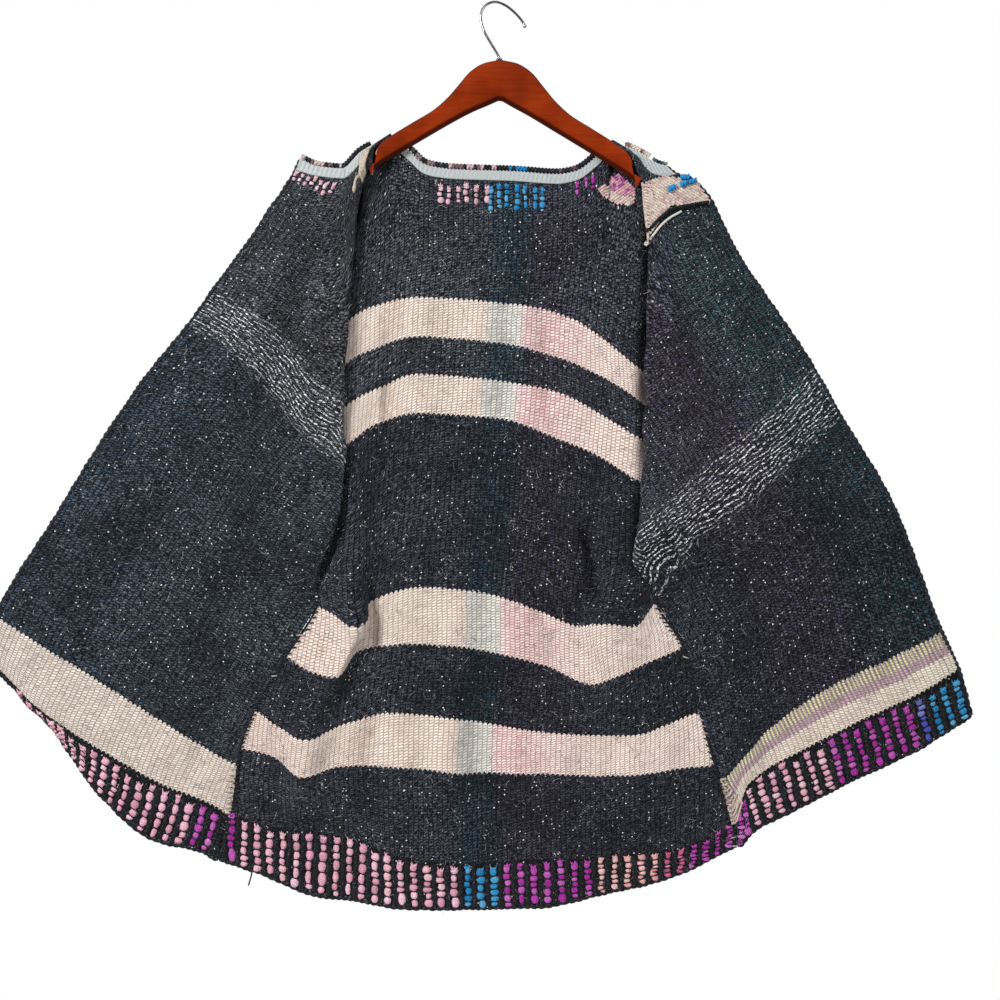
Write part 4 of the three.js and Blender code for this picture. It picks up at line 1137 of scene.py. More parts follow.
def finish_piece(name, mesh, material):
    """Normals outward, curved faces smooth and end caps flat, then the material and the body it rides."""
    tidy = bmesh.new()
    tidy.from_mesh(mesh)
    bmesh.ops.recalc_face_normals(tidy, faces=tidy.faces)
    tidy.to_mesh(mesh)
    tidy.free()
    mesh.materials.append(material)
    mesh.polygons.foreach_set("use_smooth", [len(face.vertices) == 4 for face in mesh.polygons])
    mesh.update()
    piece = bpy.data.objects.new(name, mesh)
    bpy.context.collection.objects.link(piece)
    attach(piece, BODY)
    print(name, len(mesh.polygons), "faces")
    return piece


def unit(vectors):
    return vectors / np.maximum(np.linalg.norm(vectors, axis=-1, keepdims=True), 1e-9)


def rings_along(path, up, wide, tall, sides=8, turn=None):
    """Rings along a path: half widths wide and tall at each step, tall towards up."""
    path = np.asarray(path, float)
    along = unit(np.gradient(path, axis=0))
    side = unit(np.cross(along, up))
    top = np.cross(side, along)
    angle = np.linspace(0, 2 * np.pi, sides, endpoint=False)[None, :, None]
    if turn is not None:
        angle = angle + np.asarray(turn)[:, None, None]
    wide = np.broadcast_to(wide, len(path))[:, None, None]
    tall = np.broadcast_to(tall, len(path))[:, None, None]
    return path[:, None] + side[:, None] * wide * np.cos(angle) + top[:, None] * tall * np.sin(angle)


def shell(name, points, normals, near, far, material, uv=None, rim=0.0):
    """A closed sheet between two copies of a grid, moved near and far along its normals. Its rim
    stands out by rim millimetres, halfway between them."""
    m, n = points.shape[:2]
    layers = np.concatenate([(points + normals * offset).reshape(-1, 3) for offset in (near, far)])
    index = np.arange(m * n).reshape(m, n)
    quads = np.stack([index[:-1, :-1], index[1:, :-1], index[1:, 1:], index[:-1, 1:]], -1).reshape(-1, 4)
    border = np.concatenate([index[:-1, 0], index[-1, :-1], index[:0:-1, -1], index[0, :0:-1]])
    middle = points.reshape(-1, 3)[border] + normals.reshape(-1, 3)[border] * (near + far) / 2
    along = unit(np.roll(middle, -1, 0) - np.roll(middle, 1, 0))
    out = np.cross(along, normals.reshape(-1, 3)[border])
    centre = points.reshape(-1, 3).mean(0)
    if ((middle - centre) * out).sum(1).mean() < 0:
        out = -out
    middle = middle + out * rim
    edge = 2 * m * n + np.arange(len(border))
    after = np.roll(edge, -1)
    rims = [np.stack([border + k * m * n, np.roll(border, -1) + k * m * n, after, edge], -1) for k in (0, 1)]
    faces = np.concatenate([quads[:, ::-1], quads + m * n, rims[0][:, ::-1], rims[1]])
    mesh = bpy.data.meshes.new(name)
    mesh.from_pydata((np.concatenate([layers, middle]) * MM).tolist(), [], faces.tolist())
    if uv is not None:
        flat = uv.reshape(-1, 2)
        flat = np.concatenate([flat, flat, flat[border]])
        weave = mesh.uv_layers.new(name="weave")
        corner = np.empty(len(mesh.loops), int)
        mesh.loops.foreach_get("vertex_index", corner)
        weave.data.foreach_set("uv", flat[corner].ravel())
    return finish_piece(name, mesh, material)


# %% [markdown]
# ## The three woven panels
# Each panel is a shell 3 mm thick, as the cloth is, on its own fine grid. Its weave map holds the
# real lengths along the weft and the warp, in millimetres.

# %% Cloth
RIM = 0.8


def woven(panel, name, material, *nodes):
    uv = np.stack([panel.weft, np.broadcast_to(panel.warp, panel.weft.shape)], -1)
    piece = shell(name, panel.points, panel.normals, -CLOTH / 2, CLOTH / 2, material, uv, RIM)
    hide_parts(*nodes)
    return piece


cloth_back = woven(back, "cloth_back", wool_back, "back_panel")
cloth_left = woven(left, "cloth_left_front", wool_left, "left_front")
cloth_right = woven(right, "cloth_right_front", wool_right, "right_front")

# %% [markdown]
# ## Dotted borders
# At each hem the weaver laid bundles of bright unspun wool up and down the cloth and tied them down
# with thin dark wefts, so each bundle puffs out between the ties like beads on a string. Between
# two bundles runs a thick dark cord. Here a bundle is one run of rings whose size swells and
# shrinks between ties that a seeded random number spaces unevenly, as hands do.

# %% Bundles, cords and ties
DOT_COLUMNS = 19.0
TIE_GAP = 10.0
BORDER_BUNDLE = dict(half_wide=5.6, high=3.0)
BUNDLE_STEP = 1.3
SWELL = dict(least=0.2, round=0.55)
TOP_STRANDS = (-0.8, -0.35, 0.1, 0.45, 0.85)
CORD = dict(step=1.5, half_wide=3.2, high=2.6, pitch=6.0, hollow=0.28)
TIE = dict(radius=0.9, arch=1.9, points=7)
PINK, SALMON, MAGENTA = "#e3a2b6", "#e3a09e", "#a8249b"
BLUE, VIOLET, BLACK = "#1180bb", "#4a4fb0", "#131419"
LIFT = CLOTH / 2


def on_panel(panel, weft, warp):
    """Points and inner directions at real lengths along a panel."""
    down = panel.down_at(np.asarray(warp, float))
    across = panel.across_at(np.asarray(weft, float), down)
    return panel.frame_at(across, down)


def toned(code, share):
    """A hex colour drawn towards white (share above 0) or black (below 0)."""
    goal = 255 if share > 0 else 0
    parts = [int(code[k:k + 2], 16) for k in (1, 3, 5)]
    return "#" + "".join(f"{round(part + (goal - part) * abs(share)):02x}" for part in parts)


def bundle(pile, panel, weft, warp, tie_gap, half_wide, high, code, rng, face=1):
    """A bundle of wool along the warp at one place across the weft, frayed at its top. Returns its ties."""
    low, high_end = warp
    ties = [low]
    while ties[-1] < high_end:
        ties.append(ties[-1] + tie_gap * rng.uniform(0.7, 1.25))
    ties[-1] = high_end
    if len(ties) > 2 and ties[-1] - ties[-2] < 0.5 * tie_gap:
        ties.pop(-2)
    steps = np.arange(low, high_end, BUNDLE_STEP)
    part = np.clip(np.searchsorted(ties, steps, side="right") - 1, 0, len(ties) - 2)
    starts, ends = np.array(ties)[part], np.array(ties)[part + 1]
    place = np.sin(np.pi * (steps - starts) / (ends - starts))
    aside = rng.uniform(-1.3, 1.3, len(ties))[part] * place
    points, normals = on_panel(panel, weft + aside, steps)
    normals = normals * face
    puffed = np.abs(place) ** SWELL["round"] * rng.uniform(0.6, 1.15, len(ties))[part]
    swell = SWELL["least"] + (1 - SWELL["least"]) * puffed
    swell = swell * rng.uniform(0.93, 1.07, len(steps))
    tones = [toned(code, share) for share in rng.uniform(-0.12, 0.35, len(ties))]
    centre = points + normals * (LIFT + 0.2)
    pile.add_rings(rings_along(centre, normals, half_wide * swell, high * swell), [tones[k] for k in part])
    for spread in TOP_STRANDS:
        reach = np.linspace(0, 1, 6)
        aside = (spread + rng.uniform(-0.15, 0.15)) * half_wide * (0.4 + 0.6 * reach)
        points, normals = on_panel(panel, weft + aside, low + 3 - rng.uniform(2.5, 6.5) * reach)
        normals = normals * face
        strand = points + normals * (LIFT + 1.6 - 0.8 * reach)[:, None]
        pile.add_rings(rings_along(strand, normals, 1.5 - 1.1 * reach, 1.3 - 0.9 * reach, sides=5),
                       toned(code, 0.15))
    return ties


def cord(pile, panel, weft, warp, code, rng, face=1):
    """A twisted cord along the warp."""
    steps = np.arange(warp[0], warp[1], CORD["step"])
    points, normals = on_panel(panel, weft + 0.8 * np.sin(steps / 17 + rng.uniform(0, 6)), steps)
    normals = normals * face
    turns = np.abs(np.sin(np.pi * steps / CORD["pitch"] + rng.uniform(0, 3)))
    bumps = 1 - CORD["hollow"] + CORD["hollow"] * turns
    centre = points + normals * (LIFT - 0.2)
    wide, tall = CORD["half_wide"] * bumps, CORD["high"] * bumps
    pile.add_rings(rings_along(centre, normals, wide, tall, sides=6), code)


def tie(pile, panel, weft, warp, half_long, code, face=1):
    """A thin dark weft over a bundle."""
    count, radius = TIE["points"], TIE["radius"]
    wefts = weft + np.linspace(-half_long, half_long, count)
    points, normals = on_panel(panel, wefts, np.full(count, warp))
    normals = normals * face
    arch = TIE["arch"] * np.cos(np.linspace(-1.2, 1.2, count))[:, None]
    pile.add_rings(rings_along(points + normals * (LIFT + arch), normals, radius, radius, sides=5), code)


def dye_at(places, x):
    """The dye of the first stretch that ends beyond x. places is a list of (x mm, hex)."""
    for end, code in places:
        if x < end:
            return code
    return places[-1][1]


# %% [markdown]
# ### The three borders
# Hands leave the bundles' tops uneven, so each starts up to 9 mm lower than the next. The dyes change
# along the hem in long stretches.

# %% Borders
RAGGED = 9


def border(panel, name, wefts, warp, dyes, seed, face=1):
    """A band of bundles across a panel, with a cord at each side of each. warp is (top, bottom) in mm."""
    rng = np.random.default_rng(seed)
    pile = Pile()
    half_wide, high = BORDER_BUNDLE["half_wide"], BORDER_BUNDLE["high"]
    for weft in wefts:
        top = warp[0] + rng.uniform(0, RAGGED)
        foot = on_panel(panel, [weft], [warp[1] - 2])[0]
        x = as_seen(foot)[0, 0]
        ties = bundle(pile, panel, weft, (top, warp[1] + rng.uniform(-3, 1.5)), TIE_GAP,
                      half_wide * rng.uniform(0.85, 1.1), high, dye_at(dyes, x), rng, face)
        for at in ties[1:-1]:
            tie(pile, panel, weft, at, half_wide + 1.5, BLACK, face)
        for side in (-0.5, 0.5):
            cord(pile, panel, weft + side * DOT_COLUMNS - side, (top + rng.uniform(-4, 3), warp[1]),
                 BLACK, rng, face)
    return pile.make(name, yarn)


# each stretch ends at an x, in millimetres as seen
BACK_DYES = [(-367, MAGENTA), (-54, PINK), (9, BLUE), (18, VIOLET), (135, MAGENTA), (222, SALMON),
             (272, "#c8587f"), (400, MAGENTA)]
LEFT_DYES = [(-428, PINK), (-300, MAGENTA)]
RIGHT_DYES = [(364, MAGENTA), (478, PINK), (596, MAGENTA), (609, VIOLET), (700, BLUE)]


def columns(panel, low, high, down):
    """Places across the weft, DOT_COLUMNS apart, that stay between low and high of the weft at down."""
    line = panel.lookup(panel.weft, panel.across, np.full(len(panel.across), down))
    return np.arange(line.min() + low, line.max() - high, DOT_COLUMNS)


BORDERS = [
    dict(panel=back, name="back", low=9, high=7, top=back.warp_at(1.79) + 3, dyes=BACK_DYES),
    dict(panel=left, name="left_front", low=66, high=8, top=left.warp_at(1.8) + 6, dyes=LEFT_DYES),
    dict(panel=right, name="right_front", low=10, high=8, top=right.warp_at(1.79) + 6, dyes=RIGHT_DYES),
]
for number, row in enumerate(BORDERS):
    panel, name, dyes = row["panel"], row["name"], row["dyes"]
    places = columns(panel, row["low"], row["high"], 1.9)
    warp = (row["top"], panel.warp[-1] - 2)
    border(panel, f"border_{name}", places, warp, dyes, 11 + number)
    # the bundles float as much on the right side of the cloth, half a column further on
    border(panel, f"border_outside_{name}", places[:-1] + DOT_COLUMNS / 2, warp, dyes, 15 + number, face=-1)

# %% [markdown]
# ## Bright yarn at the neck
# The same bundles show in short rows just under the neck tape, where the pattern of the right side
# comes through: pink and blue at the back, pink at the left shoulder, and two blue ends on the pale
# block at the right shoulder.

# %% Neck patches
PALE_PINK = "#e4b2bf"
PATCH = dict(high=2.2, tie_gap=9.5, ragged_top=7, ragged_foot=11.2)


def patch(panel, name, wefts, warp, dye, seed, half_wide=4.1):
    """A short row of bundles with no cords between them."""
    rng = np.random.default_rng(seed)
    pile = Pile()
    for weft in wefts + rng.uniform(-2, 2, len(wefts)):
        top = warp[0] + rng.uniform(0, PATCH["ragged_top"])
        foot = warp[1] - rng.uniform(0, PATCH["ragged_foot"])
        ties = bundle(pile, panel, weft, (top, foot), PATCH["tie_gap"], half_wide * rng.uniform(0.8, 1.1),
                      PATCH["high"], dye, rng)
        for at in ties[1:-1]:
            tie(pile, panel, weft, at, half_wide, BLACK)
    return pile.make(name, yarn)


patch(back, "neck_patch_pink", np.arange(-104, -38, 13), (20, 52), PALE_PINK, 21)
patch(back, "neck_patch_blue", np.arange(-31, 42, 12), (17, 58), BLUE, 22)
patch(back, "neck_patch_magenta", np.arange(90, 128, 14), (16, 40), MAGENTA, 23, half_wide=2.6)
patch(left, "left_patch_pink", np.arange(4, 62, 9), (17, 46), PALE_PINK, 24, half_wide=3.1)

# %% [markdown]
# ## Tapes and rolled edges
# The cut neck edge is rolled over and oversewn, and the tape covers its raw side. The tape lies
# flat on the cloth and puckers a little at each stitch. The rolls are plied: three strands twisted
# round each other, which a three-lobed ring that turns along its path gives.

# %% Tapes
TAPE_RISE = (CLOTH / 2 + 0.3, CLOTH / 2 + 1.3)
PUCKER = dict(apart=6.5, high=0.8)
SHOULDER_END = 0.864


def tape(name, panel, across, down, node):
    a, d = np.meshgrid(across, down, indexing="ij")
    points, normals = panel.frame_at(a.ravel(), d.ravel())
    points, normals = points.reshape(*a.shape, 3), normals.reshape(*a.shape, 3)
    along = lengths_along(points, 0)
    puckers = PUCKER["high"] * np.sin(2 * np.pi * along / PUCKER["apart"])
    fade = np.sin(np.linspace(0.15, 0.95, len(down)) * np.pi)
    points = points + normals * (puckers * fade)[..., None]
    piece = shell(name, points, unit(normals), *TAPE_RISE, tape_cloth, rim=0.15)
    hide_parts(node)
    return piece


FRONT_TAPE = (np.linspace(0, SHOULDER_END, 80), np.linspace(0, 0.04, 8))
tape("tape_back", back, np.linspace(0.25, 0.72, 170), np.linspace(0, 0.0225, 8), "back_neck_tape")
tape("tape_left", left, *FRONT_TAPE, "left_neck_tape")
tape("tape_right", right, *FRONT_TAPE, "right_neck_tape")

# %% Rolls and edge yarns
EDGE_STEP = 1.6
PLIES = dict(lobes=3, depth=0.17, pitch=15.0)


def resampled(path, *others, step=EDGE_STEP):
    """A path and the values beside it, at even steps of its length."""
    length = np.concatenate([[0], np.cumsum(np.linalg.norm(np.diff(path, axis=0), axis=1))])
    at = np.arange(0, length[-1], step)
    pick = lambda values: np.stack([np.interp(at, length, values[:, k]) for k in range(3)], -1)
    return [at, pick(path), *(unit(pick(other)) for other in others)]


def plied(pile, path, up, radius, code, pitch=PLIES["pitch"], sides=12):
    """A plied yarn: a lobed ring that turns along its path. code is a dye, or a list of stretches
    (up to x mm, dyes to choose from)."""
    at, path, up = resampled(path, np.broadcast_to(up, path.shape))
    if not isinstance(code, str):
        rng = np.random.default_rng(len(at))
        lots = [next(dyes for end, dyes in code if x <= end) for x in path[:, 0]]
        runs = rng.integers(0, 1000, len(at))[(at // 5).astype(int)]
        code = [dyes[run % len(dyes)] for dyes, run in zip(lots, runs)]
    angle = np.linspace(0, 2 * np.pi, sides, endpoint=False)[None, :]
    size = radius * (1 - PLIES["depth"] + PLIES["depth"] * np.cos(PLIES["lobes"] * angle))
    turned = angle + 2 * np.pi * at[:, None] / pitch
    along = unit(np.gradient(path, axis=0))
    side = unit(np.cross(along, up))
    top = np.cross(side, along)
    rings = (path[:, None] + side[:, None] * (size * np.cos(turned))[..., None]
             + top[:, None] * (size * np.sin(turned))[..., None])
    pile.add_rings(rings, code)


DARK = "#1d1e23"
BACK_ROLL_DYES = [(-78, (DARK, DARK, "#8d7378")), (0, (DARK, DARK, "#d9b5bb", "#7c5f68")),
                  (72, (DARK, "#1180bb", DARK)), (400, (DARK, "#2a2731", "#6c4a63"))]
LEFT_ROLL_DYES = [(-216, (DARK, DARK, "#cdb6b4", "#6f5560")), (0, (DARK, DARK, "#2c2d33"))]
RIGHT_ROLL_DYES = [(400, (DARK, "#8c8079", "#2a5566"))]
SHOULDER_ROLL_DYES = [(400, ("#e2d5c5", "#d9cab8", "#8a6a55"))]


def edge_of(panel, where):
    """An edge's points, its outward directions and its inner directions: first or last column, or the hem."""
    pick = {"first": (np.s_[0], np.s_[1]), "last": (np.s_[-1], np.s_[-2]),
            "top": (np.s_[:, 0], np.s_[:, 1]), "hem": (np.s_[:, -1], np.s_[:, -2])}[where]
    edge, inside = panel.points[pick[0]], panel.points[pick[1]]
    along = unit(np.gradient(edge, axis=0))
    out = edge - inside
    out = unit(out - along * (out * along).sum(-1, keepdims=True))
    return edge, out, panel.normals[pick[0]]


def roll(name, panel, share, clearance, radius, code, node):
    """The rolled neck edge of a panel between two shares of across."""
    edge, out, normal = edge_of(panel, "top")
    kept = (panel.across >= share[0]) & (panel.across <= share[1])
    pile = Pile()
    plied(pile, (edge + out * clearance)[kept], normal[kept], radius, code)
    piece = pile.make(name, yarn)
    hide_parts(node)
    return piece


roll("roll_back", back, (0.29, 0.68), 4.8, 4.6, BACK_ROLL_DYES, "back_neck_roll")
roll("roll_left", left, (0, 0.79), 4.4, 4.2, LEFT_ROLL_DYES, "left_neck_roll")
roll("roll_right", right, (0, 0.36), 3.9, 2.9, RIGHT_ROLL_DYES, "right_neck_roll")
roll("roll_right_shoulder", right, (0.4, SHOULDER_END), 4.6, 3.7, SHOULDER_ROLL_DYES, "right_shoulder_roll")


def bead_edge(name, panel, where, radius, pitch, code, rows=None):
    """The outermost warp of a panel, round which each weft turns back: a yarn with a bump for each turn."""
    edge, out, normal = edge_of(panel, where)
    if rows is not None:
        kept = (panel.down >= rows[0]) & (panel.down <= rows[1])
        edge, out, normal = edge[kept], out[kept], normal[kept]
    at, path, out, normal = resampled(edge, out, normal)
    bumps = 0.55 + 0.45 * np.abs(np.sin(np.pi * at / pitch + 1.6 * np.sin(at / 31)))
    bumps *= 0.85 + 0.3 * np.sin(at / 13.7 + 2 * np.sin(at / 47)) ** 2
    pile = Pile()
    pile.add_rings(rings_along(path + out * 0.4, normal, radius * bumps, radius * bumps, sides=8), code)
    return pile.make(name, yarn)


EDGE_DYE, RIGHT_EDGE_DYE, HEM_DYE = "#22252c", "#1f232b", "#17181d"
FRONT_ARMHOLE, BACK_ARMHOLE = (ARMHOLE_TOP, 0.97), (0.06, 0.97)
bead_edge("selvedge_left_front", left, "first", 3.3, 9.0, EDGE_DYE)
bead_edge("selvedge_right_front", right, "first", 3.3, 9.0, RIGHT_EDGE_DYE)
for name, panel, where, rows in (
        ("left_front", left, "last", FRONT_ARMHOLE), ("right_front", right, "last", FRONT_ARMHOLE),
        ("back_left", back, "first", BACK_ARMHOLE), ("back_right", back, "last", BACK_ARMHOLE)):
    bead_edge(f"armhole_{name}", panel, where, 2.3, 7.5, EDGE_DYE, rows)
for name, panel in (("back", back), ("left_front", left), ("right_front", right)):
    bead_edge(f"hem_{name}", panel, "hem", 3.0, 9.5, HEM_DYE)


# %% [markdown]
# ## Places as seen
# Some pieces are placed by where the photo shows them. A few Newton steps on a panel's surface find
# the point that is seen at such a place.

# %% Places as seen
def seen_on(panel, places):
    """The points and inner directions of a panel at places (x, z) as seen."""
    places = np.asarray(places, float)
    grid = as_seen(panel.points).reshape(-1, 2)
    nearest = ((grid[None] - places[:, None]) ** 2).sum(-1).argmin(1)
    i, j = np.unravel_index(nearest, panel.points.shape[:2])
    at = np.stack([panel.across[i], panel.down[j]], -1)
    step = 0.004
    for _ in range(4):
        here = as_seen(panel.frame_at(at[:, 0], at[:, 1])[0])
        sides = [as_seen(panel.frame_at(at[:, 0] + dx, at[:, 1] + dy)[0]) - here
                 for dx, dy in ((step, 0), (0, step))]
        (a, c), (b, d) = (side.T / step for side in sides)
        miss = places - here
        scale = a * d - b * c
        scale = np.where(abs(scale) < 1e-3, np.inf, scale)
        move = np.stack([d * miss[:, 0] - b * miss[:, 1], a * miss[:, 1] - c * miss[:, 0]], -1)
        move = move / scale[:, None]
        at = np.clip(at + np.clip(move, -0.03, 0.03), [0.002, 0.002], [0.998, 1.998])
    return panel.frame_at(at[:, 0], at[:, 1])


# %% [markdown]
# ## Sewing
# The side seams are whip stitched with dark wool: short loops from one panel's edge to the other's,
# one after another. At both seams the pale stripe of the front ends raw, as a row of short frayed
# wefts, and at the shoulders the weaver left knotted ends.

# %% Side seams
WHIP = dict(apart=8.0, radius=1.0, high=2.4, dark="#1b1c21", pale="#b9a9a0", dark_share=0.93)
TACK = dict(top=0.85, apart=0.0105, radius=2.0)
SEAM_YARN = dict(radius=2.1, pitch=11, dye="#191a1f", steps=220)


def whip_seam(name, side, front, seed):
    rng = np.random.default_rng(seed)
    pile = Pile()
    edge = 0 if side == "left" else -1
    downs = np.interp(np.arange(0, front.warp[-1] - front.warp_at(1), WHIP["apart"]) + front.warp_at(1),
                      front.warp, front.down)
    for down in downs:
        lean = rng.uniform(0.004, 0.012)
        spots = [back.frame_at(np.array([0.008 if edge == 0 else 0.992]), np.array([down])),
                 front.frame_at(np.array([0.986]), np.array([min(down + lean, 2)]))]
        (a, na), (b, nb) = [(p[0], n[0]) for p, n in spots]
        t = np.linspace(0, 1, 9)[:, None]
        path = a + (b - a) * t + unit(na + nb) * (CLOTH / 2 + 0.2 + WHIP["high"] * np.sin(np.pi * t))
        pile.add_rings(rings_along(path, unit(na + nb), WHIP["radius"], WHIP["radius"], sides=6),
                       WHIP["dark"] if rng.random() < WHIP["dark_share"] else WHIP["pale"])
    return pile.make(name, yarn)


whip_seam("seam_left", "left", left, 31)
whip_seam("seam_right", "right", right, 32)


def seam_cord(name, back_share, front, seed):
    """A plied yarn in the seam, and a few turns of it that hold the bottom of the armhole together."""
    rng = np.random.default_rng(seed)
    pile = Pile()
    steps = np.linspace(0.985, 1.995, SEAM_YARN["steps"])
    a, na = back.frame_at(np.full(len(steps), back_share), steps)
    b, nb = front.frame_at(np.full(len(steps), 0.995), steps)
    plied(pile, (a + b) / 2 + unit(na + nb) * 0.9, unit(na + nb), SEAM_YARN["radius"], SEAM_YARN["dye"],
          pitch=SEAM_YARN["pitch"])
    for down in np.arange(TACK["top"], 1.0, TACK["apart"]):
        a, na = back.frame_at(np.array([back_share]), np.array([down]))
        b, nb = front.frame_at(np.array([0.985]), np.array([down + rng.uniform(-0.004, 0.004)]))
        t = np.linspace(0, 1, 9)[:, None]
        path = a + (b - a) * t + unit(na + nb) * (1.2 + 1.0 * np.sin(np.pi * t))
        rings = rings_along(path, unit(na + nb), TACK["radius"], TACK["radius"], sides=6)
        pile.add_rings(rings, SEAM_YARN["dye"])
    return pile.make(name, yarn)


seam_cord("seam_cord_left", 0.003, left, 33)
seam_cord("seam_cord_right", 0.997, right, 34)


# %% [markdown]
# ## Ends and knots
# The pale stripes end raw at the side seams, a loose end hangs from the hem, and the weaver knotted
# two ends at the right shoulder and twisted a tuft together at the left one.

# %% Frayed ends
def frayed(name, panel, across, downs, code, seed, radius=1.7):
    """Short loose wefts side by side, at the places across × downs."""
    rng = np.random.default_rng(seed)
    pile = Pile()
    for down in downs:
        shares = np.linspace(across[0] + rng.uniform(-0.01, 0.01), across[1], 9)
        points, normals = panel.frame_at(shares, np.full(9, down) + 0.004 * np.sin(shares * 70))
        curl = np.linspace(0, 1, 9)[:, None] ** 2 * rng.uniform(0.5, 3.5)
        path = points + normals * (CLOTH / 2 + radius * 0.7 + curl)
        plied(pile, path, normals, radius * rng.uniform(0.75, 1.15), code, pitch=9, sides=9)
    return pile.make(name, yarn)


STRAY_END = [(-341, -1211), (-343, -1222), (-347, -1236)]
stray = Pile()
stray_at, stray_facing = seen_on(back, STRAY_END[:1])
stray_path = np.array([[x, stray_at[0, 1] - 1, z] for x, z in STRAY_END], float)
plied(stray, stray_path, stray_facing[0], 1.3, "#141519", pitch=8, sides=9)
stray.make("stray_end_at_hem", yarn)
frayed("frayed_end_left", left, (0.93, 0.995), np.linspace(1.63, 1.8, 9), "#cbbbae", 41)
frayed("frayed_end_right", right, (0.93, 0.995), np.linspace(1.6, 1.8, 10), "#cfbfb2", 42)


# %% Knots and the tuft
def knot(name, node, radius, yarn_radius, code):
    """A yarn rolled up on itself: a ring round a core, facing the viewer."""
    low, high = (np.array(corner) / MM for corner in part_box(node))
    centre = (low + high) / 2
    turns = np.linspace(0, 2.6 * np.pi, 40)
    reach = radius - yarn_radius - turns * 0.28
    path = centre + np.stack([reach * np.cos(turns), -0.25 * turns, reach * np.sin(turns)], -1)
    pile = Pile()
    plied(pile, path, np.array([0.0, -1.0, 0.0]), yarn_radius, code, pitch=8, sides=9)
    piece = pile.make(name, yarn)
    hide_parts(node)
    return piece


knot("knot_right_neck", "right_neck_knot", 5.2, 2.0, "#e0d8cc")
knot("knot_right_armhole", "right_armhole_knot", 5.0, 2.0, "#ddd3c8")

TUFT = dict(strands=6, steps=12, apart=0.016, down=(0.075, 0.185), radius=2.1, dye="#cbbba8")
tuft_pile = Pile()
tuft_rng = np.random.default_rng(51)
for strand in range(TUFT["strands"]):
    place = strand - (TUFT["strands"] - 1) / 2
    shares = SHOULDER_END + TUFT["apart"] * place * np.linspace(1, 0.15, TUFT["steps"])
    spots, facing = left.frame_at(shares, np.linspace(*TUFT["down"], TUFT["steps"]))
    lifted = spots + facing * (CLOTH / 2 + 2.4 + 1.2 * np.sin(np.linspace(0, np.pi, TUFT["steps"])))[:, None]
    radius = TUFT["radius"] * tuft_rng.uniform(0.85, 1.15)
    plied(tuft_pile, lifted, facing, radius, TUFT["dye"], pitch=8, sides=9)
tuft = tuft_pile.make("tuft_left_shoulder", yarn)
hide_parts("left_shoulder_tuft")

# %% [markdown]
# ## The right shoulder
# Here the weaver turned the cloth's pale stripe into the shoulder: a patch of slanted cream yarns
# with a pink tint, edged with one black and one white cord. A smaller pink patch shows on the back.
# Each yarn is laid on the cloth along a slanted line inside the patch's outline.

# %% Yarn patches at the right shoulder
def inside(outline, places):
    """Which places lie inside an outline."""
    x, z = places.T
    found = np.zeros(len(places), bool)
    for (x0, z0), (x1, z1) in zip(outline, [*outline[1:], outline[0]]):
        crosses = (z0 > z) != (z1 > z)
        found ^= crosses & (x < (x1 - x0) * (z - z0) / (z1 - z0 + 1e-9) + x0)
    return found


YARNS_APART = 3.5


def yarn_patch(name, panel, outline, slope, radius, dyes, seed):
    """Slanted yarns side by side inside an outline as seen."""
    rng = np.random.default_rng(seed)
    turn = math.radians(slope)
    ahead = np.array([math.cos(turn), math.sin(turn)])
    beside = np.array([-math.sin(turn), math.cos(turn)])
    corners = np.array(outline, float)
    centre = corners.mean(0)
    reach = np.abs(corners - centre).max() * 1.5
    pile = Pile()
    for offset in np.arange(-reach, reach, YARNS_APART):
        line = centre + beside * offset + ahead * np.arange(-reach, reach, 1.4)[:, None]
        line = line[inside(outline, line)]
        if len(line) < 4:
            continue
        points, normals = seen_on(panel, line)
        points = points + normals * (CLOTH / 2 + radius * 0.45)
        plied(pile, points, normals, radius * rng.uniform(0.9, 1.1), [(999, dyes)], pitch=8, sides=9)
    return pile.make(name, yarn)


def laid_cord(name, panel, line, radius, code, pitch=9):
    """A plied cord on a panel, through places as seen."""
    line = np.array(line, float)
    knots = np.concatenate([[0], np.cumsum(np.linalg.norm(np.diff(line, axis=0), axis=1))])
    fine = smooth_through(knots, line, np.arange(0, knots[-1], 2))
    points, normals = seen_on(panel, fine)
    pile = Pile()
    plied(pile, points + normals * (CLOTH / 2 + radius + 0.8), normals, radius, code, pitch=pitch, sides=9)
    return pile.make(name, yarn)


SHOULDER_BLOCK = [(203, -252), (235, -242), (281, -250), (301, -276), (301, -282), (246, -285),
                  (213, -332), (206, -324)]
PINK_PATCH = [(157, -245), (176, -239), (195, -256), (196, -271), (174, -270), (157, -262)]
BEIGE_PATCH = [(140, -259), (154, -254), (174, -268), (196, -271), (193, -284), (168, -282), (151, -273)]
CREAM = ("#dccdbd", "#e6d8c9", "#d8bfb6", "#e0d0c0", "#c9a9a8")
PINKS = ("#c98fae", "#a8508f", "#dcb2b6", "#d9a3b0")
BEIGES = ("#dcc8bd", "#d9aab0", "#e3d3c6")
yarn_patch("shoulder_block", right, SHOULDER_BLOCK, -32, 2.4, CREAM, 71)
yarn_patch("back_patch_pink", back, PINK_PATCH, 35, 2.3, PINKS, 72)
yarn_patch("back_patch_beige", back, BEIGE_PATCH, 35, 2.3, BEIGES, 73)

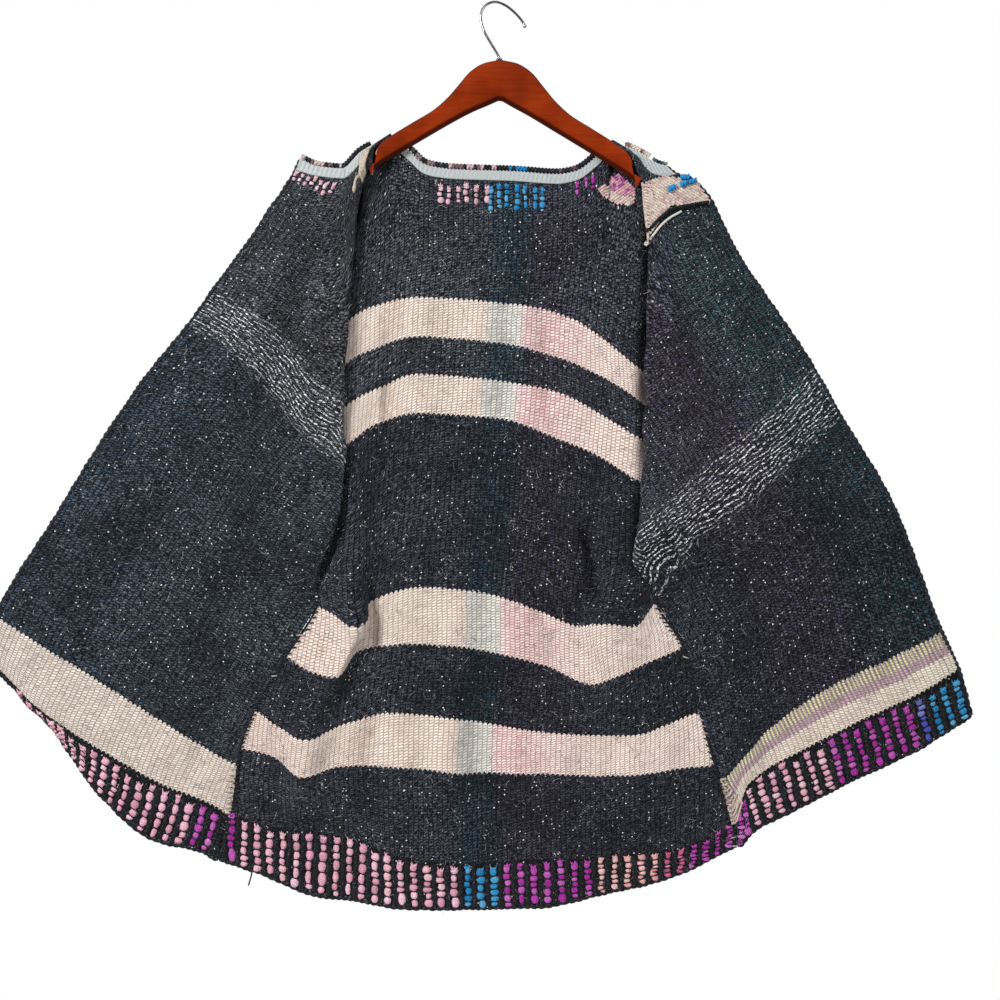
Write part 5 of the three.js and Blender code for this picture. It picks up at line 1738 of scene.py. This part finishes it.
# %% Cords and blue ends at the right shoulder
BLUE_ENDS = [
    [(241, -263), (252, -257)], [(258, -257), (267, -252)], [(269, -252), (281, -249)],
    [(258, -246), (272, -245)],
]
BLACK_CORD = [(297, -280), (272, -284), (246, -290), (230, -302), (217, -316), (214, -322)]
WHITE_CORD = [(260, -292), (244, -301), (230, -313), (216, -332)]
for number, line in enumerate(BLUE_ENDS):
    laid_cord(f"shoulder_blue_{number}", right, line, 4.4, "#1f8fd0", pitch=14)
laid_cord("shoulder_cord_black", right, BLACK_CORD, 3.0, "#111116")
laid_cord("shoulder_cord_white", right, WHITE_CORD, 2.0, "#e4dfd6")

# %% [markdown]
# ## Loose fibres
# Hand-spun wool is hairy. A few thousand stray fibres lie on each panel and stand off its edges.
# Real fibres are 0.03 mm thick, which the picture can't show, so these are ribbons 0.3 mm wide.

# %% Fibres
FIBRE = dict(wide=0.3, steps=5, long=(4, 12), down=(0.03, 1.99), across=(0.01, 0.99))
FIBRE_DYES = ["#646973", "#858992", "#464a54", "#c4c2bf", "#2c2f36"]
FIBRE_SHARES = [0.34, 0.2, 0.24, 0.07, 0.15]


def fibres(name, panel, count, seed, face=1):
    rng = np.random.default_rng(seed)
    steps = FIBRE["steps"]
    roots, normal = panel.frame_at(rng.uniform(*FIBRE["across"], count), rng.uniform(*FIBRE["down"], count))
    heading = unit(rng.normal(size=(count, 3)))
    normal = normal * face
    flat = unit(heading - normal * (heading * normal).sum(-1, keepdims=True))
    sideways = np.cross(normal, flat)
    length = rng.uniform(*FIBRE["long"], count)
    bend = rng.normal(0, 0.9, count)
    rise = rng.uniform(0.3, 2.4, count)
    t = np.linspace(0, 1, steps)
    path = ((roots + normal * (CLOTH / 2 + 0.2))[:, None]
            + flat[:, None] * (length[:, None] * t)[..., None]
            + sideways[:, None] * (length[:, None] * bend[:, None] * t ** 2 * 0.5)[..., None]
            + normal[:, None] * (rise[:, None] * np.sin(np.pi * t * 0.85))[..., None])
    half = sideways[:, None] * FIBRE["wide"] / 2
    ribbon = np.stack([path - half, path + half], 2).reshape(count * steps * 2, 3)
    first = (np.arange(count) * steps * 2)[:, None] + 2 * np.arange(steps - 1)[None, :]
    faces = np.stack([first, first + 1, first + 3, first + 2], -1).reshape(-1, 4)
    pile = Pile()
    pile.vertices, pile.faces = [ribbon], faces.tolist()
    picks = rng.choice(len(FIBRE_DYES), count, p=FIBRE_SHARES)
    pile.dyes = np.repeat([linear(FIBRE_DYES[k]) for k in picks], steps * 2, axis=0)
    return pile.make(name, yarn)


fibres("fibres_back", back, 4200, 61)
fibres("fibres_left_front", left, 2300, 62)
fibres("fibres_right_front", right, 2200, 63)
fibres("fibres_outside_back", back, 1200, 64, face=-1)

# %% [markdown]
# ## The hanger
# A flat hanger is sawn from a board, rounded over along its top with a router, and bevelled along
# the underside of each arm. The bevel runs on past the arm's rounded end to a point. Here an
# outline of many points is drawn twice, once for the whole and once for the flat front face, and
# rings between the two make the round-over at the top and the bevel below.

# %% Hanger body
HEAD = dict(x=5.6, z=-80.1)
ARMS = dict(left=dict(side=-1, reach=185, drop=157), right=dict(side=1, reach=197, drop=174))
WOOD = 12.0
ROUND_OVER = 2.2
BEVEL = dict(tall=7.0, deep=4.0, softness=1.3)
ARM_TOP = [(0.0, 0.0), (0.12, 0.03), (0.22, 0.1), (0.31, 0.22), (0.39, 0.33), (0.5, 0.445), (0.65, 0.552),
           (0.81, 0.667), (0.9, 0.74), (0.937, 0.8), (0.952, 0.89)]
ARM_UNDER = [(1.0, 1.0), (0.69, 0.78), (0.41, 0.587), (0.2, 0.449), (0.1, 0.393), (0.0, 0.334)]
OUTLINE_STEPS = 70


def along_table(table, steps):
    """A smooth line of so many steps through the points of a table."""
    points = np.array(table)
    knots = np.concatenate([[0], np.cumsum(np.linalg.norm(np.diff(points, axis=0), axis=1))])
    return smooth_through(knots, points, np.linspace(0, knots[-1], steps))


def arm_outline(arm):
    """One arm's outline: the top from the head to its rounded end, then below from the tip to the middle."""
    under = along_table(ARM_UNDER, OUTLINE_STEPS + 1)[:-1]
    shares = np.concatenate([along_table(ARM_TOP, OUTLINE_STEPS), under])
    x = HEAD["x"] + arm["side"] * arm["reach"] * shares[:, 0]
    # both arms drop alike in the middle, so that the underside meets without a step
    evened = np.mean([each["drop"] for each in ARMS.values()])
    drop = arm["drop"] + (evened - arm["drop"]) * np.clip(1 - shares[:, 0] / 0.4, 0, 1) ** 2
    return np.stack([x, HEAD["z"] - drop * shares[:, 1]], -1)


def hanger_body():
    right_line, left_line = arm_outline(ARMS["right"]), arm_outline(ARMS["left"])
    middle = (right_line[-1:] + left_line[-1:]) / 2
    line = np.concatenate([right_line, middle, left_line[:0:-1]])
    n, whole = OUTLINE_STEPS, len(line)
    below = (np.arange(whole) >= n) & (np.arange(whole) <= 3 * n)
    # both faces are strips of quads from the top to the underside
    right_face = [[i, i + 1, 2 * n - 2 - i, 2 * n - 1 - i] for i in range(n - 1)]
    left_face = [[(whole - i) % whole, whole - i - 1, 2 * n + 2 + i, 2 * n + 1 + i] for i in range(n - 1)]
    faces = right_face + left_face + [[0, 2 * n - 1, 2 * n, 2 * n + 1]]
    along = unit(np.roll(line, -1, 0) - np.roll(line, 1, 0))
    inward = np.stack([along[:, 1], -along[:, 0]], -1)
    # the face narrows to nothing at the tips, where the top and the underside meet
    apart = np.linalg.norm(line[:, None] - line[None], axis=-1)
    room = np.where(below[:, None] == below[None], np.inf, apart).min(1)
    reach = np.where(below, np.minimum(BEVEL["tall"], 0.55 * room), np.minimum(ROUND_OVER, 0.3 * room))
    face_line = line + inward * reach[:, None]
    rings, edge_shades = [], []
    for t in np.linspace(0, 1, 9):
        turn = t * math.pi / 2
        # darker towards the outline: partly stain gathered in the routed edges, partly painted shade and dark
        # reflection
        edge_shades.append(toned("#ffffff", -0.5 * min(max(3 * (0.9 - t), 0), 1)))
        share = np.where(below, t, 1 - math.cos(turn))[:, None]
        depth = np.where(below, WOOD / 2 - BEVEL["deep"] * (1 - t) ** BEVEL["softness"],
                         WOOD / 2 - ROUND_OVER * (1 - math.sin(turn)))
        flat = line + (face_line - line) * share
        rings.append(np.stack([flat[:, 0], -depth, flat[:, 1]], -1))
    behind = [ring * [1, -1, 1] for ring in rings]
    pile = Pile()
    pile.add_rings(np.array([*rings[::-1], *behind]), edge_shades[::-1] + edge_shades, faces)
    piece = pile.make("wooden_hanger", wood)
    piece.data.set_sharp_from_angle(angle=math.radians(24))
    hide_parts("hanger_body")
    return piece


hanger_body()

# %% [markdown]
# ## The hook
# A length of 3.6 mm wire is bent to an open bow, with a ball at its tip so that it doesn't scratch
# the rail, and stands in a turned ferrule on the hanger's head.

# %% Hook
HOOK_LINE = [(4.6, -79.8), (4.4, -76.5), (0.8, -69), (-6.5, -57), (-16.5, -39), (-21.3, -22), (-19, -9),
             (-11.5, -0.8), (-0.5, 1.8), (13, -2.8), (28, -14.8), (38, -27), (40.2, -32)]
WIRE_RADIUS = 1.8
TIP_RADIUS = 2.6
FERRULE = dict(up=[0, 0.4, 2.4, 3.0], radius=np.array([4.5, 4.5, 3.9, 3.2]))
CLEAN = "#ffffff"


def catmull(points, steps):
    """A rounder curve through points, by the centripetal rule."""
    points = np.asarray(points, float)
    ends = [2 * points[0] - points[1], *points, 2 * points[-1] - points[-2]]
    found = []
    for p0, p1, p2, p3 in zip(ends, ends[1:], ends[2:], ends[3:]):
        t0 = 0
        t1 = t0 + np.linalg.norm(p1 - p0) ** 0.5
        t2 = t1 + np.linalg.norm(p2 - p1) ** 0.5
        t3 = t2 + np.linalg.norm(p3 - p2) ** 0.5
        for t in np.linspace(t1, t2, steps, endpoint=False):
            a1 = ((t1 - t) * p0 + (t - t0) * p1) / (t1 - t0)
            a2 = ((t2 - t) * p1 + (t - t1) * p2) / (t2 - t1)
            a3 = ((t3 - t) * p2 + (t - t2) * p3) / (t3 - t2)
            b1 = ((t2 - t) * a1 + (t - t0) * a2) / (t2 - t0)
            b2 = ((t3 - t) * a2 + (t - t1) * a3) / (t3 - t1)
            found.append(((t2 - t) * b1 + (t - t1) * b2) / (t2 - t1))
    return np.array([*found, points[-1]])


wire = catmull([(x, 0, z) for x, z in HOOK_LINE], 10)
hook_pile = Pile()
away = np.array([0.0, 1.0, 0.0])
hook_pile.add_rings(rings_along(wire, away, WIRE_RADIUS, WIRE_RADIUS, sides=18), CLEAN)
bulb = np.linspace(-1, 1, 15)
heading = unit(wire[-1] - wire[-2])
bulb_path = wire[-1] + heading * (bulb * TIP_RADIUS)[:, None]
bulb_size = TIP_RADIUS * np.sqrt(np.maximum(1 - bulb ** 2, 0.003))
hook_pile.add_rings(rings_along(bulb_path, away, bulb_size, bulb_size, sides=18), CLEAN)
ferrule_path = wire[0] + np.outer(FERRULE["up"], [0, 0, 1])
hook_pile.add_rings(rings_along(ferrule_path, away, FERRULE["radius"], FERRULE["radius"], sides=24), CLEAN)
hook = hook_pile.make("steel_hook", steel)
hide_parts("hanger_hook")

# %% [markdown]
# ## What the cloth measures
# Each panel was a rectangle on the loom. Hung up, it keeps its area, apart from what its folds and
# the cut neck take. The area of one face of each panel is printed beside the area of its cut.

# %% Each panel's area and its cut
CUT = dict(back=(0.72, 1.06), left=(0.38, 0.92), right=(0.38, 0.92))
SEWN_ON = {
    "back": ["tape_back", "roll_back", "border_back", "border_outside_back", "hem_back"],
    "left": ["tape_left", "roll_left", "border_left_front", "border_outside_left_front", "hem_left_front"],
    "right": ["tape_right", "roll_right", "roll_right_shoulder", "border_right_front",
              "border_outside_right_front", "hem_right_front", "shoulder_block"],
}
for cloth, side in ((cloth_back, "back"), (cloth_left, "left"), (cloth_right, "right")):
    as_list(SEWN_ON[side])
    area = sum(face.area for face in cloth.data.polygons) / 2
    print(side, "one face", round(area, 3), "m2, cut", round(math.prod(CUT[side]), 3))
